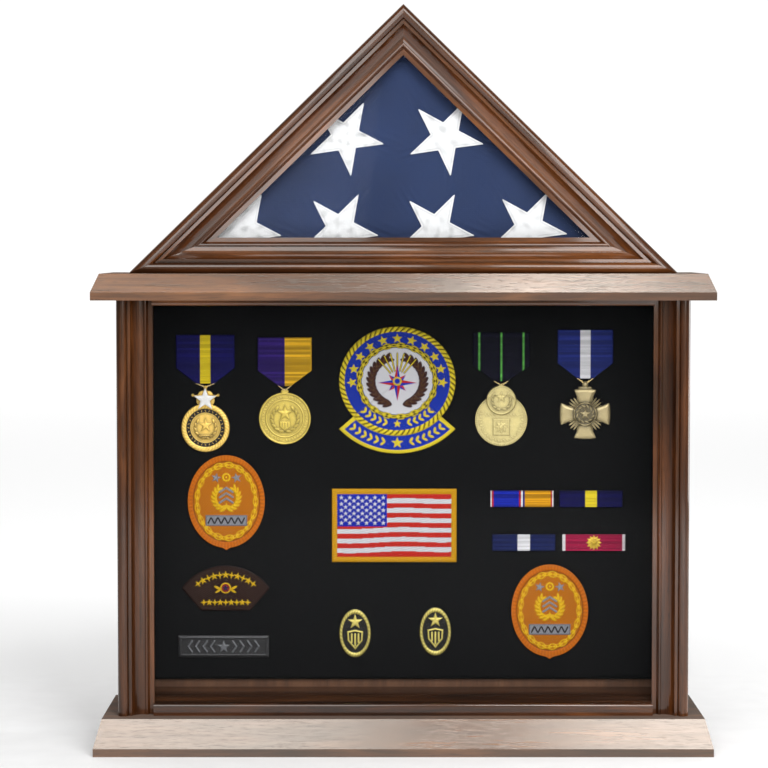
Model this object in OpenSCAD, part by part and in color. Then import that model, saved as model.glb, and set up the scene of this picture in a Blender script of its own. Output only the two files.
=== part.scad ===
// Folded flag display case: a glazed triangular case for a folded flag stands on a
// shelf, over a glazed shadow box of medals and insignia, on a bevelled base board.
// X runs across the front, -Y is the front and +Z is up. The origin lies under the
// middle of the base board.

/* [Boards] */
// Width of the base board and of the shelf
board_w = 476; // [462:1:500]
// Depth of the base board and of the shelf
board_d = 112; // [108:1:130]
// Thickness of the base board
base_t = 28.3; // [24:0.1:36]
// Thickness of the shelf
shelf_t = 20.3; // [17:0.1:26]
// Height of the upright band under each bevel
band_h = 6.2; // [4:0.1:9]
// How far each bevel runs in from the edge
bevel_run = 6.2; // [3:0.1:8]

/* [Cases] */
// Width of the shadow box over its pilasters
box_w = 441; // [436:1:444]
// Height of the shadow box between the base board and the shelf
box_h = 321.5; // [318:0.5:326]
// Width of the flag case along its foot
flag_case_w = 422; // [405:0.5:425]
// Height of the flag case from its foot to its peak
flag_case_h = 205.5; // [198:0.5:208]
// Thickness of the case boards
wall_t = 13; // [12:0.5:15]
// Gap between the rear face of the cases and the rear edge of the base board
rear_inset = 6; // [4:0.5:8]

/* [Mouldings and rails] */
// Width of the moulding on the pilasters and round the flag
moulding_w = 27.5; // [26:0.5:30]
// Distance from the front edge of the base board to the crest of the moulding
front_inset = 17; // [15:0.5:19]
// Height of the rail under the glass of the shadow box
bottom_rail_h = 9.2; // [8:0.1:11]
// Height of the rail over the glass of the shadow box
top_rail_h = 4.5; // [4:0.1:6]
// Depth of both rails
rail_d = 14; // [11:0.5:16]

/* [Glass and panels] */
// Thickness of the glass
glass_t = 2.4; // [2:0.1:3]
// Thickness of the rear panels
panel_t = 4; // [3:0.5:5]
// Thickness of the felt covered board
felt_t = 4; // [3:0.5:5]
// Height of the plain strip of rear panel left under the felt covered board
panel_strip_h = 6; // [4:0.5:8]
// Width of the step that takes the edge of a rear panel
rabbet_w = 5; // [4.5:0.5:5]

/* [Turn buttons] */
// Length of a turn button
button_l = 24; // [20:1:26]
// Width of a turn button
button_w = 8; // [7.5:0.5:8]
// Thickness of a turn button
button_t = 1.2; // [1:0.1:1.5]

/* [Hidden] */
$fn = 48;
eps = 0.01;

// Colours of the pieces
walnut = "#4a2413";
walnut_light = "#6b3a1e";
clear_glass = [0.85, 0.92, 0.95, 0.3];
black_felt = "#181818";
navy = "#2f3f66";
gold = "#c79a3b";
brass = "#b08d3c";
steel = "#a9adb0";

// Levels and planes
front_y = -board_d / 2;
rear_y = board_d / 2 - rear_inset;
box_z = base_t;
shelf_z = base_t + box_h;
flag_z = shelf_z + shelf_t;

// Section of the moulding: each point is the distance in from the outer edge, then
// the height in front of the case boards.
outer_bead_r = 4.5;
outer_bead_z = 12.5;
moulding_d = outer_bead_z + outer_bead_r;
bead_foot = [7.7, 15.4];
quirk = [8.4, 13.2];
fillet = [9.2, 14.6];
cove_top = [10.9, 14.6];
cove_foot = [20.6, 7.2];
inner_bead_r = 1.3;
inner_bead = [21.9, 7.9];
lip = [24.2, 6.2];
cove_drop = cove_top[1] - cove_foot[1];
cove_run = cove_foot[0] - cove_top[0];
cove_r = (cove_run * cove_run + cove_drop * cove_drop) / (2 * cove_drop);
cove_start = 180 + asin((cove_r - cove_drop) / cove_r);
moulding_y = front_y + front_inset + moulding_d;

// Planes behind the mouldings
glass_y = moulding_y;
strip_y = glass_y + glass_t;
panel_rear_gap = 0.3;
panel_seat_gap = 0.05;
panel_y = rear_y - panel_rear_gap - panel_t;
felt_y = panel_y - felt_t;
fit_gap = 0.4;

// Glazing strips, and the floor board that the upright ones stand on
strip_w = 5.5;
strip_d = 5;
floor_t = bottom_rail_h - 0.7;

// Folded flag
flag_gap = 1.5;
flag_front_gap = 0.6;
flag_rear_gap = 1;

// Outline of the flag case in the XZ plane, each side moved in by a distance
leg_angle = atan(flag_case_h / (flag_case_w / 2));
function flag_corners(inset = 0) =
    let (half = flag_case_w / 2 - inset / tan(leg_angle / 2))
    [[-half, flag_z + inset], [half, flag_z + inset],
     [0, flag_z + flag_case_h - inset / cos(leg_angle)]];
leg_l = norm(flag_corners()[2] - flag_corners()[1]);
inradius = flag_case_w / 2 * tan(leg_angle / 2);

// Screws: length, shank diameter, head diameter, head height
base_screw = [50, 4, 8, 4];
case_screw = [30, 3.5, 7, 3.5];
button_screw_shank = 3;
button_screw_l = 12;
button_screw_head = [6, 1];
bore_gap = 0.1;
base_screw_y = [-4, 36];
case_screw_x = [-120, 0, 120];
case_screw_y = 14;
dowel_d = 8;
dowel_l = 24;
dowel_y = [-8, 32];
wall_mid_x = box_w / 2 - wall_t / 2;

// Turn buttons
button_pivot_inset = button_w / 2;
button_play = 0.05;
box_button_z = [box_z + box_h * 0.22, box_z + box_h * 0.78];

// Insignia on the felt: each medal's centre, ribbon top and ribbon width
medals = [[-157.4, 320.3, 46.5], [-94, 318.3, 43], [78.8, 322.3, 45.5], [145.8, 324.3, 44]];
ribbon_t = 2;
ribbon_drop = 26.5;
ribbon_taper = 12.2;
ribbon_foot_w = [14.7, 10, 11.5, 12.5];
pendant_t = 2.6;
bail_w = 1.1;
bail_t = 1.2;
bail_drop = [3, 3.4, 3.4, 4];
star_disc_r = 19.4;
star_disc_z = 246.1;
plain_disc_r = 20.8;
plain_disc_z = 253.6;
double_disc_z = 252.3;
small_disc = [15.9, 11.8];
cross_z = 257.2;
cross_reach = 20.2;
patch_t = 1.8;
round_patch_at = [-4.2, 283.5];
round_patch_size = [46.5, 43.6];
banner_reach = 60 / 45;
banner_half_angle = 49;
oval_half = [30.8, 37.2];
oval_places = [[-141, 186.9], [118.1, 99.1]];
cap_at = [-141.7, 117.2];
cap_half_w = 35.2;
cap_top_h = 18;
cap_foot_h = 17.9;
cap_foot_w = 39.4;
cap_r = (cap_half_w * cap_half_w + cap_top_h * cap_top_h) / (2 * cap_top_h);
cap_rise = asin((cap_r - cap_top_h) / cap_r);
flag_patch_at = [-6.6, 167.7];
flag_patch_size = [99.8, 59];
pin_places = [[-38, 81.5], [26.4, 82.9]];
plate_at = [-143.6, 70.1];
plate_size = [72.7, 17.5];
bar_places = [[95.6, 189.2], [150.8, 189.2], [97.1, 154], [153.2, 154]];
bar_size = [50.5, 13];
bar_frame_t = 0.8;
bar_ribbon_t = 1.4;

// Points along an arc
function arc(centre, r, from, to, steps) =
    [for (i = [0:steps]) centre + r * [cos(from + (to - from) * i / steps),
                                       sin(from + (to - from) * i / steps)]];
// Points round an ellipse
function ellipse(half, from = 0, to = 360, steps = 48) =
    [for (i = [0:steps]) [half[0] * cos(from + (to - from) * i / steps),
                          half[1] * sin(from + (to - from) * i / steps)]];
// Points of a star
function star(tips, outer, inner, turn = 90) =
    [for (i = [0:2 * tips - 1]) (i % 2 == 0 ? outer : inner)
        * [cos(turn + 180 * i / tips), sin(turn + 180 * i / tips)]];

// ---- Shared shapes ----

module moulding_section() {
    polygon(concat(
        [[0, 0]],
        arc([outer_bead_r, outer_bead_z], outer_bead_r, 180, 50, 8),
        [bead_foot, quirk, [fillet[0], quirk[1]], fillet],
        arc(cove_foot + [0, cove_r], cove_r, cove_start, 270, 8),
        arc(inner_bead, inner_bead_r, 180, 60, 4),
        [lip, [moulding_w, lip[1]], [moulding_w, 0]]));
}

// Section of a case board, with the step for the rear panel
module wall_section() {
    back = moulding_y - rear_y;
    step = moulding_y - panel_y + panel_seat_gap;
    polygon([[0, 0], [wall_t, 0], [wall_t, step], [wall_t - rabbet_w, step],
             [wall_t - rabbet_w, back], [0, back]]);
}

module strip_section() {
    translate([wall_t, -glass_t - strip_d]) square([strip_w, strip_d]);
}

// Stands a section upright at the left side of the shadow box, facing the front
module upright_left(height) {
    translate([-box_w / 2, moulding_y, box_z])
        mirror([0, 1, 0]) linear_extrude(height) children();
}

// Lays the frame of one side of the flag case: X runs along the side, +Z runs inward.
// Sides: 0 is the foot, 1 the right leg, 2 the left leg.
module on_flag_side(side) {
    start = flag_corners()[side];
    angle = [0, 180 - leg_angle, 180 + leg_angle][side];
    translate([start[0], 0, start[1]]) rotate([0, -angle, 0]) children();
}

// One mitred length of a section along a side of the flag case
module flag_side(side) {
    corners = flag_corners();
    centre = [0, flag_z + inradius];
    intersection() {
        on_flag_side(side)
            translate([0, moulding_y, 0]) rotate(a = 180, v = [1, 0, 1])
                linear_extrude(side == 0 ? flag_case_w : leg_l) children();
        rotate([90, 0, 0]) linear_extrude(2 * board_d, center = true)
            polygon([corners[side], corners[(side + 1) % 3], centre]);
    }
}

// A flat triangle inside the flag case, from one depth to another
module flag_triangle(inset, from_y, to_y) {
    translate([0, to_y, 0]) rotate([90, 0, 0])
        linear_extrude(to_y - from_y) polygon(flag_corners(inset));
}

// A board with an upright band and a bevel on its front and ends
module bevelled_board(thickness) {
    difference() {
        translate([-board_w / 2, front_y, 0]) cube([board_w, board_d, thickness]);
        translate([0, front_y, 0]) rotate([90, 0, 90]) bevel_cut(board_w, thickness);
        for (side = [0, 1]) mirror([side, 0, 0])
            translate([-board_w / 2, 0, 0]) rotate([90, 0, 0]) bevel_cut(board_d, thickness);
    }
}

module bevel_cut(length, thickness) {
    linear_extrude(length + 2, center = true)
        polygon([[0, band_h], [bevel_run, thickness], [bevel_run, thickness + 1],
                 [-1, thickness + 1], [-1, band_h]]);
}

// Countersunk screw along +Z, its head flush with the XY plane
module screw(size, gap = 0) {
    cylinder(h = size[0] + gap, d = size[1] + 2 * gap);
    translate([0, 0, -eps]) cylinder(h = size[3] + eps, d1 = size[2] + 2 * gap,
                                    d2 = size[1] + 2 * gap);
}

module at_base_screws() {
    for (side = [-1, 1], y = base_screw_y) translate([side * wall_mid_x, y, 0]) children();
}

module at_case_screws() {
    for (x = case_screw_x) translate([x, case_screw_y, shelf_z]) children();
}

module at_dowels() {
    for (side = [-1, 1], y = dowel_y)
        translate([side * wall_mid_x, y, shelf_z - dowel_l / 2]) children();
}

// The pivot of a turn button, with the button along +X and inward along +Z
module at_box_button(side, z) {
    mirror([side, 0, 0])
        translate([-box_w / 2 + button_pivot_inset, rear_y, z]) rotate([0, 90, 0]) children();
}

module at_flag_button(side) {
    along = side == 0 ? flag_case_w / 2 : leg_l / 2;
    on_flag_side(side) translate([along, rear_y, button_pivot_inset])
        mirror([side == 1 ? 1 : 0, 0, 0]) children();
}

module at_all_buttons() {
    for (side = [0, 1], z = box_button_z) at_box_button(side, z) children();
    for (side = [0:2]) at_flag_button(side) children();
}

module turn_button() {
    reach = button_l - button_w;
    color(brass) rotate([-90, 0, 0]) translate([0, 0, button_play]) difference() {
        linear_extrude(button_t) union() {
            circle(d = button_w);
            translate([reach, 0]) circle(d = button_w);
            translate([0, -button_w / 2]) square([reach, button_w]);
        }
        translate([0, 0, -1]) cylinder(h = button_t + 2, d = button_screw_shank + bore_gap);
    }
}

// Puts a shape on the felt: its XY plane is the felt and its +Z points to the front
module on_felt(place, lift = 0) {
    translate([place[0], felt_y - lift, place[1]]) rotate([90, 0, 0]) children();
}

// ---- Base, shelf and shadow box ----

module base_board() {
    color(walnut) difference() {
        bevelled_board(base_t);
        at_base_screws() screw(base_screw, bore_gap);
    }
}

module shelf_board() {
    color(walnut) difference() {
        translate([0, 0, shelf_z]) bevelled_board(shelf_t);
        at_dowels() cylinder(h = dowel_l + bore_gap, d = dowel_d + bore_gap);
        at_case_screws() screw(case_screw, bore_gap);
    }
}

module box_left_side() {
    color(walnut_light) difference() {
        upright_left(box_h) wall_section();
        at_base_screws() screw(base_screw, bore_gap);
        at_dowels() translate([0, 0, -bore_gap]) cylinder(h = dowel_l, d = dowel_d + bore_gap);
        for (z = box_button_z) at_box_button(0, z) button_screw_bore();
    }
}

module box_right_side() {
    mirror([1, 0, 0]) box_left_side();
}

module box_floor() {
    inner_w = box_w - 2 * wall_t;
    color(walnut_light) translate([-inner_w / 2, strip_y + fit_gap, box_z])
        cube([inner_w, panel_y - strip_y - 2 * fit_gap, floor_t]);
}

module pilaster_left() {
    color(walnut) upright_left(box_h) moulding_section();
}

module pilaster_right() {
    mirror([1, 0, 0]) pilaster_left();
}

// A rail between the pilasters with a rounded arris
module front_rail(height, arris_up) {
    length = box_w - 2 * moulding_w;
    arris = 2;
    round_y = arris_up ? height - arris : arris;
    color(walnut) translate([0, moulding_y, 0]) rotate([90, 0, 90])
        linear_extrude(length, center = true) union() {
            translate([-rail_d + arris, 0]) square([rail_d - arris, height]);
            translate([-rail_d, arris_up ? 0 : arris]) square([rail_d, height - arris]);
            translate([-rail_d + arris, round_y]) circle(r = arris);
        }
}

module front_bottom_rail() {
    translate([0, 0, box_z]) front_rail(bottom_rail_h, true);
}

module front_top_rail() {
    translate([0, 0, shelf_z - top_rail_h]) front_rail(top_rail_h, false);
}

module box_glass() {
    width = box_w - 2 * wall_t - 2 * fit_gap;
    color(clear_glass) translate([-width / 2, glass_y, box_z])
        cube([width, glass_t, box_h - fit_gap]);
}

module box_glazing_left() {
    color(walnut_light) translate([0, 0, floor_t]) upright_left(box_h - floor_t) strip_section();
}

module box_glazing_right() {
    mirror([1, 0, 0]) box_glazing_left();
}

module box_glazing_top() {
    width = box_w - 2 * wall_t - 2 * strip_w;
    color(walnut_light) translate([-width / 2, strip_y, shelf_z - top_rail_h])
        cube([width, strip_d, top_rail_h]);
}

// ---- Flag case ----

module flag_case_floor() {
    color(walnut_light) difference() {
        flag_side(0) wall_section();
        at_case_screws() screw(case_screw, bore_gap);
        at_flag_button(0) button_screw_bore();
    }
}

module flag_case_right_board() {
    color(walnut_light) difference() {
        flag_side(1) wall_section();
        at_flag_button(1) button_screw_bore();
    }
}

module flag_case_left_board() {
    color(walnut_light) difference() {
        flag_side(2) wall_section();
        at_flag_button(2) button_screw_bore();
    }
}

module flag_moulding_bottom() {
    color(walnut) flag_side(0) moulding_section();
}

module flag_moulding_right() {
    color(walnut) flag_side(1) moulding_section();
}

module flag_moulding_left() {
    color(walnut) flag_side(2) moulding_section();
}

module flag_glass() {
    color(clear_glass) flag_triangle(wall_t + fit_gap, glass_y, glass_y + glass_t);
}

module flag_glazing_bottom() {
    color(walnut_light) flag_side(0) strip_section();
}

module flag_glazing_right() {
    color(walnut_light) flag_side(1) strip_section();
}

module flag_glazing_left() {
    color(walnut_light) flag_side(2) strip_section();
}

// The folded flag, a plain triangular block of cloth
module folded_flag() {
    color(navy) flag_triangle(wall_t + flag_gap, strip_y + strip_d + flag_front_gap,
                              panel_y - flag_rear_gap);
}

module flag_back_panel() {
    color(walnut_light) flag_triangle(wall_t - rabbet_w + fit_gap, panel_y, panel_y + panel_t);
}

// ---- Fasteners ----

module shelf_dowels() {
    color("#c9a66b") at_dowels() cylinder(h = dowel_l, d = dowel_d);
}

module base_screws() {
    color(steel) at_base_screws() translate([0, 0, 2 * eps]) screw(base_screw);
}

module flag_case_screws() {
    color(steel) at_case_screws() translate([0, 0, 2 * eps]) screw(case_screw);
}

module button_screw_bore() {
    rotate([90, 0, 0]) translate([0, 0, -1])
        cylinder(h = button_screw_l + 1 + bore_gap, d = button_screw_shank + bore_gap);
}

module button_screws() {
    head_y = 2 * button_play + button_t;
    color(brass) at_all_buttons() {
        rotate([90, 0, 0]) translate([0, 0, -head_y - eps])
            cylinder(h = button_screw_l + head_y, d = button_screw_shank);
        rotate([-90, 0, 0]) translate([0, 0, head_y]) difference() {
            cylinder(h = button_screw_head[1], d = button_screw_head[0]);
            translate([-button_screw_head[0], -0.4, 0.5]) cube([2 * button_screw_head[0], 0.8, 1]);
        }
    }
}

module turn_button_lower_left() { at_box_button(0, box_button_z[0]) turn_button(); }
module turn_button_upper_left() { at_box_button(0, box_button_z[1]) turn_button(); }
module turn_button_lower_right() { at_box_button(1, box_button_z[0]) turn_button(); }
module turn_button_upper_right() { at_box_button(1, box_button_z[1]) turn_button(); }
module turn_button_flag_floor() { at_flag_button(0) turn_button(); }
module turn_button_flag_right() { at_flag_button(1) turn_button(); }
module turn_button_flag_left() { at_flag_button(2) turn_button(); }

// ---- Rear panel of the shadow box and what hangs on it ----

module box_back_panel() {
    width = box_w - 2 * (wall_t - rabbet_w) - 2 * fit_gap;
    color(walnut_light) translate([-width / 2, panel_y, box_z + fit_gap])
        cube([width, panel_t, box_h - 2 * fit_gap]);
}

module felt_board() {
    width = box_w - 2 * wall_t - 2 * fit_gap;
    foot = box_z + bottom_rail_h + panel_strip_h;
    color(black_felt) translate([-width / 2, felt_y, foot])
        cube([width, felt_t, shelf_z - fit_gap - foot]);
}

// A folded suspension ribbon that narrows to its foot
module medal_ribbon(i, tint) {
    half = medals[i][2] / 2;
    foot = ribbon_foot_w[i] / 2;
    color(tint) on_felt([medals[i][0], medals[i][1]]) linear_extrude(ribbon_t)
        polygon([[-half, 0], [half, 0], [half, -ribbon_drop],
                 [foot, -ribbon_drop - ribbon_taper], [-foot, -ribbon_drop - ribbon_taper],
                 [-half, -ribbon_drop]]);
}

// A struck disc with a raised rim
module struck_disc(r, rim) {
    difference() {
        cylinder(h = pendant_t, r = r);
        translate([0, 0, pendant_t - 0.7]) difference() {
            cylinder(h = 1, r = r - rim);
            translate([0, 0, -1]) cylinder(h = 3, r = r - 2.6 * rim);
        }
    }
}

module medal_1_ribbon() { medal_ribbon(0, "#26304f"); }
module medal_2_ribbon() { medal_ribbon(1, "#5a3a55"); }
module medal_3_ribbon() { medal_ribbon(2, "#14182a"); }
module medal_4_ribbon() { medal_ribbon(3, "#27345a"); }

// Ball or block that a pendant hangs by, from the foot of its bail to its top edge
module eyelet(half_w, from_z, to_z) {
    translate([-half_w, to_z, 0]) cube([2 * half_w, from_z - to_z, pendant_t - 0.2]);
}

// Where the bail of a medal ends
function bail_foot(i) = medals[i][1] - ribbon_drop - ribbon_taper - bail_drop[i];

// Disc under a five pointed star with ball tips
module medal_1_pendant() {
    star_r = 9.7;
    ball_r = 1.2;
    color(gold) on_felt([medals[0][0], star_disc_z]) union() {
        struck_disc(star_disc_r, 2.4);
        translate([0, 22.8, 0]) {
            linear_extrude(pendant_t) polygon(star(5, star_r, star_r * 0.42));
            for (side = [-1, 1]) translate([side * 10, 3.2, 0])
                cylinder(h = pendant_t - 0.6, r = ball_r);
        }
        eyelet(1.3, bail_foot(0) - star_disc_z, 30);
    }
}

// Plain struck disc
module medal_2_pendant() {
    color(gold) on_felt([medals[1][0], plain_disc_z]) union() {
        struck_disc(plain_disc_r, 1.6);
        eyelet(3, bail_foot(1) - plain_disc_z, plain_disc_r - 1);
    }
}

// Large disc that carries a small one at its top
module medal_3_pendant() {
    color("#cdb98a") on_felt([medals[2][0], double_disc_z]) union() {
        struck_disc(plain_disc_r, 1.5);
        translate([0, small_disc[0], 0]) cylinder(h = pendant_t + 0.5, r = small_disc[1]);
        eyelet(2, bail_foot(2) - double_disc_z, small_disc[0] + small_disc[1] - 1);
    }
}

// Cross with flared arms, rays between them and a round centre
module medal_4_pendant() {
    flare = [[6.1, 0], [6.3, 9], [7.4, 15], [9.6, 18.7], [8.4, cross_reach]];
    arm = concat(flare, [for (i = [len(flare) - 1:-1:0]) [-flare[i][0], flare[i][1]]]);
    color("#6e5a34") on_felt([medals[3][0], cross_z]) union() {
        for (turn = [0:90:270]) rotate(turn) linear_extrude(pendant_t - 0.6) polygon(arm);
        linear_extrude(pendant_t - 1.4) polygon(star(4, cross_reach * 0.76, 9, 45));
        cylinder(h = pendant_t, r = 9.4);
        eyelet(2, bail_foot(3) - cross_z, cross_reach - 1);
    }
}

// The bent wires that join the ribbons to the pendants
module medal_bails() {
    for (i = [0:3]) {
        top_w = ribbon_foot_w[i] / 2 - 0.6;
        rise = bail_drop[i];
        color(gold) on_felt([medals[i][0], bail_foot(i)]) linear_extrude(bail_t)
            polygon([[-top_w, rise], [-1, bail_w], [1, bail_w], [top_w, rise],
                     [top_w + bail_w, rise], [1.6, 0], [-1.6, 0], [-top_w - bail_w, rise]]);
    }
}

// Round patch with a banner under it
module round_patch() {
    color("#1c3aa8") on_felt(round_patch_at) linear_extrude(patch_t) union() {
        polygon(ellipse(round_patch_size));
        polygon(concat([[0, 0]], ellipse(round_patch_size * banner_reach,
                                         270 - banner_half_angle, 270 + banner_half_angle, 24)));
    }
}

module oval_patch(i) {
    color("#a8762e") on_felt(oval_places[i]) linear_extrude(patch_t)
        polygon(ellipse(oval_half));
}

module oval_patch_left() { oval_patch(0); }
module oval_patch_right() { oval_patch(1); }

// Patch shaped like the crown of a cap
module cap_patch() {
    color("#3a2315") on_felt(cap_at) linear_extrude(patch_t)
        polygon(concat(arc([0, cap_top_h - cap_r], cap_r, cap_rise, 180 - cap_rise, 24),
                       [[-cap_foot_w / 2, -cap_foot_h], [cap_foot_w / 2, -cap_foot_h]]));
}

module flag_patch() {
    color("#b8232f") on_felt(flag_patch_at)
        translate([-flag_patch_size[0] / 2, -flag_patch_size[1] / 2, 0])
            cube([flag_patch_size[0], flag_patch_size[1], patch_t]);
}

// Two matching pins: a star over a shield in a laurel ring
module gold_pins() {
    shield = concat([[-9, 5], [9, 5]], ellipse([9, 22], 0, -180, 16));
    for (place = pin_places) color(gold) on_felt(place) union() {
        translate([0, 1, 0]) linear_extrude(2) polygon(shield);
        translate([0, 11.4, 0]) linear_extrude(2.6) polygon(star(5, 8, 3.4));
        linear_extrude(1.2) difference() {
            polygon(ellipse([13, 17]));
            polygon(ellipse([9.6, 13.6]));
        }
    }
}

module name_plate() {
    bevel = 1.6;
    color("#55575a") on_felt(plate_at) union() {
        translate([-plate_size[0] / 2, -plate_size[1] / 2, 0])
            cube([plate_size[0], plate_size[1], patch_t / 2]);
        translate([-plate_size[0] / 2 + bevel, -plate_size[1] / 2 + bevel, 0])
            cube([plate_size[0] - 2 * bevel, plate_size[1] - 2 * bevel, patch_t]);
    }
}

module centred_bar(size, thickness) {
    translate([-size[0] / 2, -size[1] / 2, 0]) cube([size[0], size[1], thickness]);
}

// Metal slides that the ribbon bars are wrapped round
module ribbon_bar_frames() {
    for (place = bar_places) color(brass) on_felt(place)
        centred_bar(bar_size - [1, 1], bar_frame_t);
}

module ribbon_bar(i, tint) {
    color(tint) on_felt(bar_places[i], bar_frame_t) centred_bar(bar_size, bar_ribbon_t);
}

module ribbon_bar_1() { ribbon_bar(0, "#b0303a"); }
module ribbon_bar_2() { ribbon_bar(1, "#1d2747"); }
module ribbon_bar_3() { ribbon_bar(2, "#1d2747"); }
module ribbon_bar_4() { ribbon_bar(3, "#8e1f30"); }

base_board();
shelf_board();
box_left_side();
box_right_side();
box_floor();
pilaster_left();
pilaster_right();
front_bottom_rail();
front_top_rail();
box_glass();
box_glazing_left();
box_glazing_right();
box_glazing_top();
flag_case_floor();
flag_case_left_board();
flag_case_right_board();
flag_moulding_bottom();
flag_moulding_left();
flag_moulding_right();
flag_glass();
flag_glazing_bottom();
flag_glazing_left();
flag_glazing_right();
folded_flag();
shelf_dowels();
base_screws();
flag_case_screws();
button_screws();
turn_button_lower_left();
turn_button_upper_left();
turn_button_lower_right();
turn_button_upper_right();
turn_button_flag_floor();
turn_button_flag_left();
turn_button_flag_right();
flag_back_panel();
box_back_panel();
felt_board();
medal_1_ribbon();
medal_2_ribbon();
medal_3_ribbon();
medal_4_ribbon();
medal_1_pendant();
medal_2_pendant();
medal_3_pendant();
medal_4_pendant();
medal_bails();
round_patch();
oval_patch_left();
oval_patch_right();
cap_patch();
flag_patch();
gold_pins();
name_plate();
ribbon_bar_frames();
ribbon_bar_1();
ribbon_bar_2();
ribbon_bar_3();
ribbon_bar_4();
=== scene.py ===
import math

import bpy
import numpy as np
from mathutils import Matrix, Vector


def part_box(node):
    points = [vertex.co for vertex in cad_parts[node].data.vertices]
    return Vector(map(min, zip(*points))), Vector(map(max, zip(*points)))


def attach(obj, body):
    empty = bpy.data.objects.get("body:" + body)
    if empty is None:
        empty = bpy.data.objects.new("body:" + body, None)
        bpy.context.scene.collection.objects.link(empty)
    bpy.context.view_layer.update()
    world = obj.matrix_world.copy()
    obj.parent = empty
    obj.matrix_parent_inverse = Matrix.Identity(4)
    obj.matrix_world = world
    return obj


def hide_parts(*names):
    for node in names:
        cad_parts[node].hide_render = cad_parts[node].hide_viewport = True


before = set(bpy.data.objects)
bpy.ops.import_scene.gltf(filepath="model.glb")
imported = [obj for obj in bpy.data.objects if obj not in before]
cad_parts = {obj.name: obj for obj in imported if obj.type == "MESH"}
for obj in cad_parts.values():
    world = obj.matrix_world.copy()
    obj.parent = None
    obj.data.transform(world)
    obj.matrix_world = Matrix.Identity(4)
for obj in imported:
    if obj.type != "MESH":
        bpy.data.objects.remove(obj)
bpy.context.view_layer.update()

MM = 0.001
FRONT_OF_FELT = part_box("felt_board")[0].y
SIDES = (-1, 1)


# ---- Building materials ----

class Look:
    """A material built from nodes; each call adds a node and gives back its output."""

    def __init__(self, name, **shader):
        self.material = bpy.data.materials.new(name)
        self.material.use_nodes = True
        self.tree = self.material.node_tree
        self.shader = self.tree.nodes["Principled BSDF"]
        for key, value in shader.items():
            self.put(self.shader, key.replace("_", " "), value)

    def put(self, node, key, value):
        if isinstance(value, bpy.types.NodeSocket):
            self.tree.links.new(value, node.inputs[key])
        else:
            node.inputs[key].default_value = value

    def add(self, kind, inputs, output=0, **settings):
        node = self.tree.nodes.new("ShaderNode" + kind)
        for key, value in settings.items():
            setattr(node, key, value)
        for key, value in inputs.items():
            self.put(node, key, value)
        return node.outputs[output]

    def place(self):
        return self.add("TexCoord", {}, output=3)

    def turned(self, vector, degrees):
        return self.add("VectorRotate", {"Vector": vector, "Angle": math.radians(degrees)},
                        rotation_type="Y_AXIS")

    def scaled(self, vector, scale):
        return self.add("Mapping", {"Vector": vector, "Scale": scale})

    def noise(self, vector, scale, detail=3.0, roughness=0.55, distortion=0.0):
        return self.add("TexNoise", {"Vector": vector, "Scale": scale, "Detail": detail,
                                     "Roughness": roughness, "Distortion": distortion})

    def wave(self, vector, scale, distortion, direction="X"):
        return self.add("TexWave", {"Vector": vector, "Scale": scale, "Distortion": distortion,
                                    "Detail": 1.0}, output=1, bands_direction=direction)

    def ramp(self, factor, *stops):
        node = self.tree.nodes.new("ShaderNodeValToRGB")
        self.put(node, "Fac", factor)
        points = node.color_ramp.elements
        while len(points) < len(stops):
            points.new(0.5)
        for point, (position, colour) in zip(points, stops):
            point.position = position
            point.color = (*colour, 1.0) if hasattr(colour, "__len__") else (colour,) * 3 + (1.0,)
        return node.outputs[0]

    def between(self, factor, first, second):
        return self.ramp(factor, (0.3, first), (0.7, second))

    def mix(self, factor, first, second, blend="MIX"):
        node = self.tree.nodes.new("ShaderNodeMix")
        node.data_type = "RGBA"
        node.blend_type = blend
        for index, value in ((0, factor), (6, first), (7, second)):
            if isinstance(value, tuple):
                value = (*value, 1.0)
            self.put(node, index, value)
        return node.outputs[2]

    def math(self, operation, first, second):
        return self.add("Math", {0: first, 1: second}, operation=operation)

    def tint(self):
        return self.add("Attribute", {}, attribute_name="tint")

    def colour(self, value):
        self.put(self.shader, "Base Color", value)

    def roughness(self, value):
        self.put(self.shader, "Roughness", value)

    def bump(self, *layers):
        """Each layer is a height and the depth in metres that it stands for."""
        normal = None
        for height, depth in layers:
            inputs = {"Height": height, "Distance": depth, "Strength": 1.0}
            if normal is not None:
                inputs["Normal"] = normal
            normal = self.add("Bump", inputs)
        self.put(self.shader, "Normal", normal)


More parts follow.
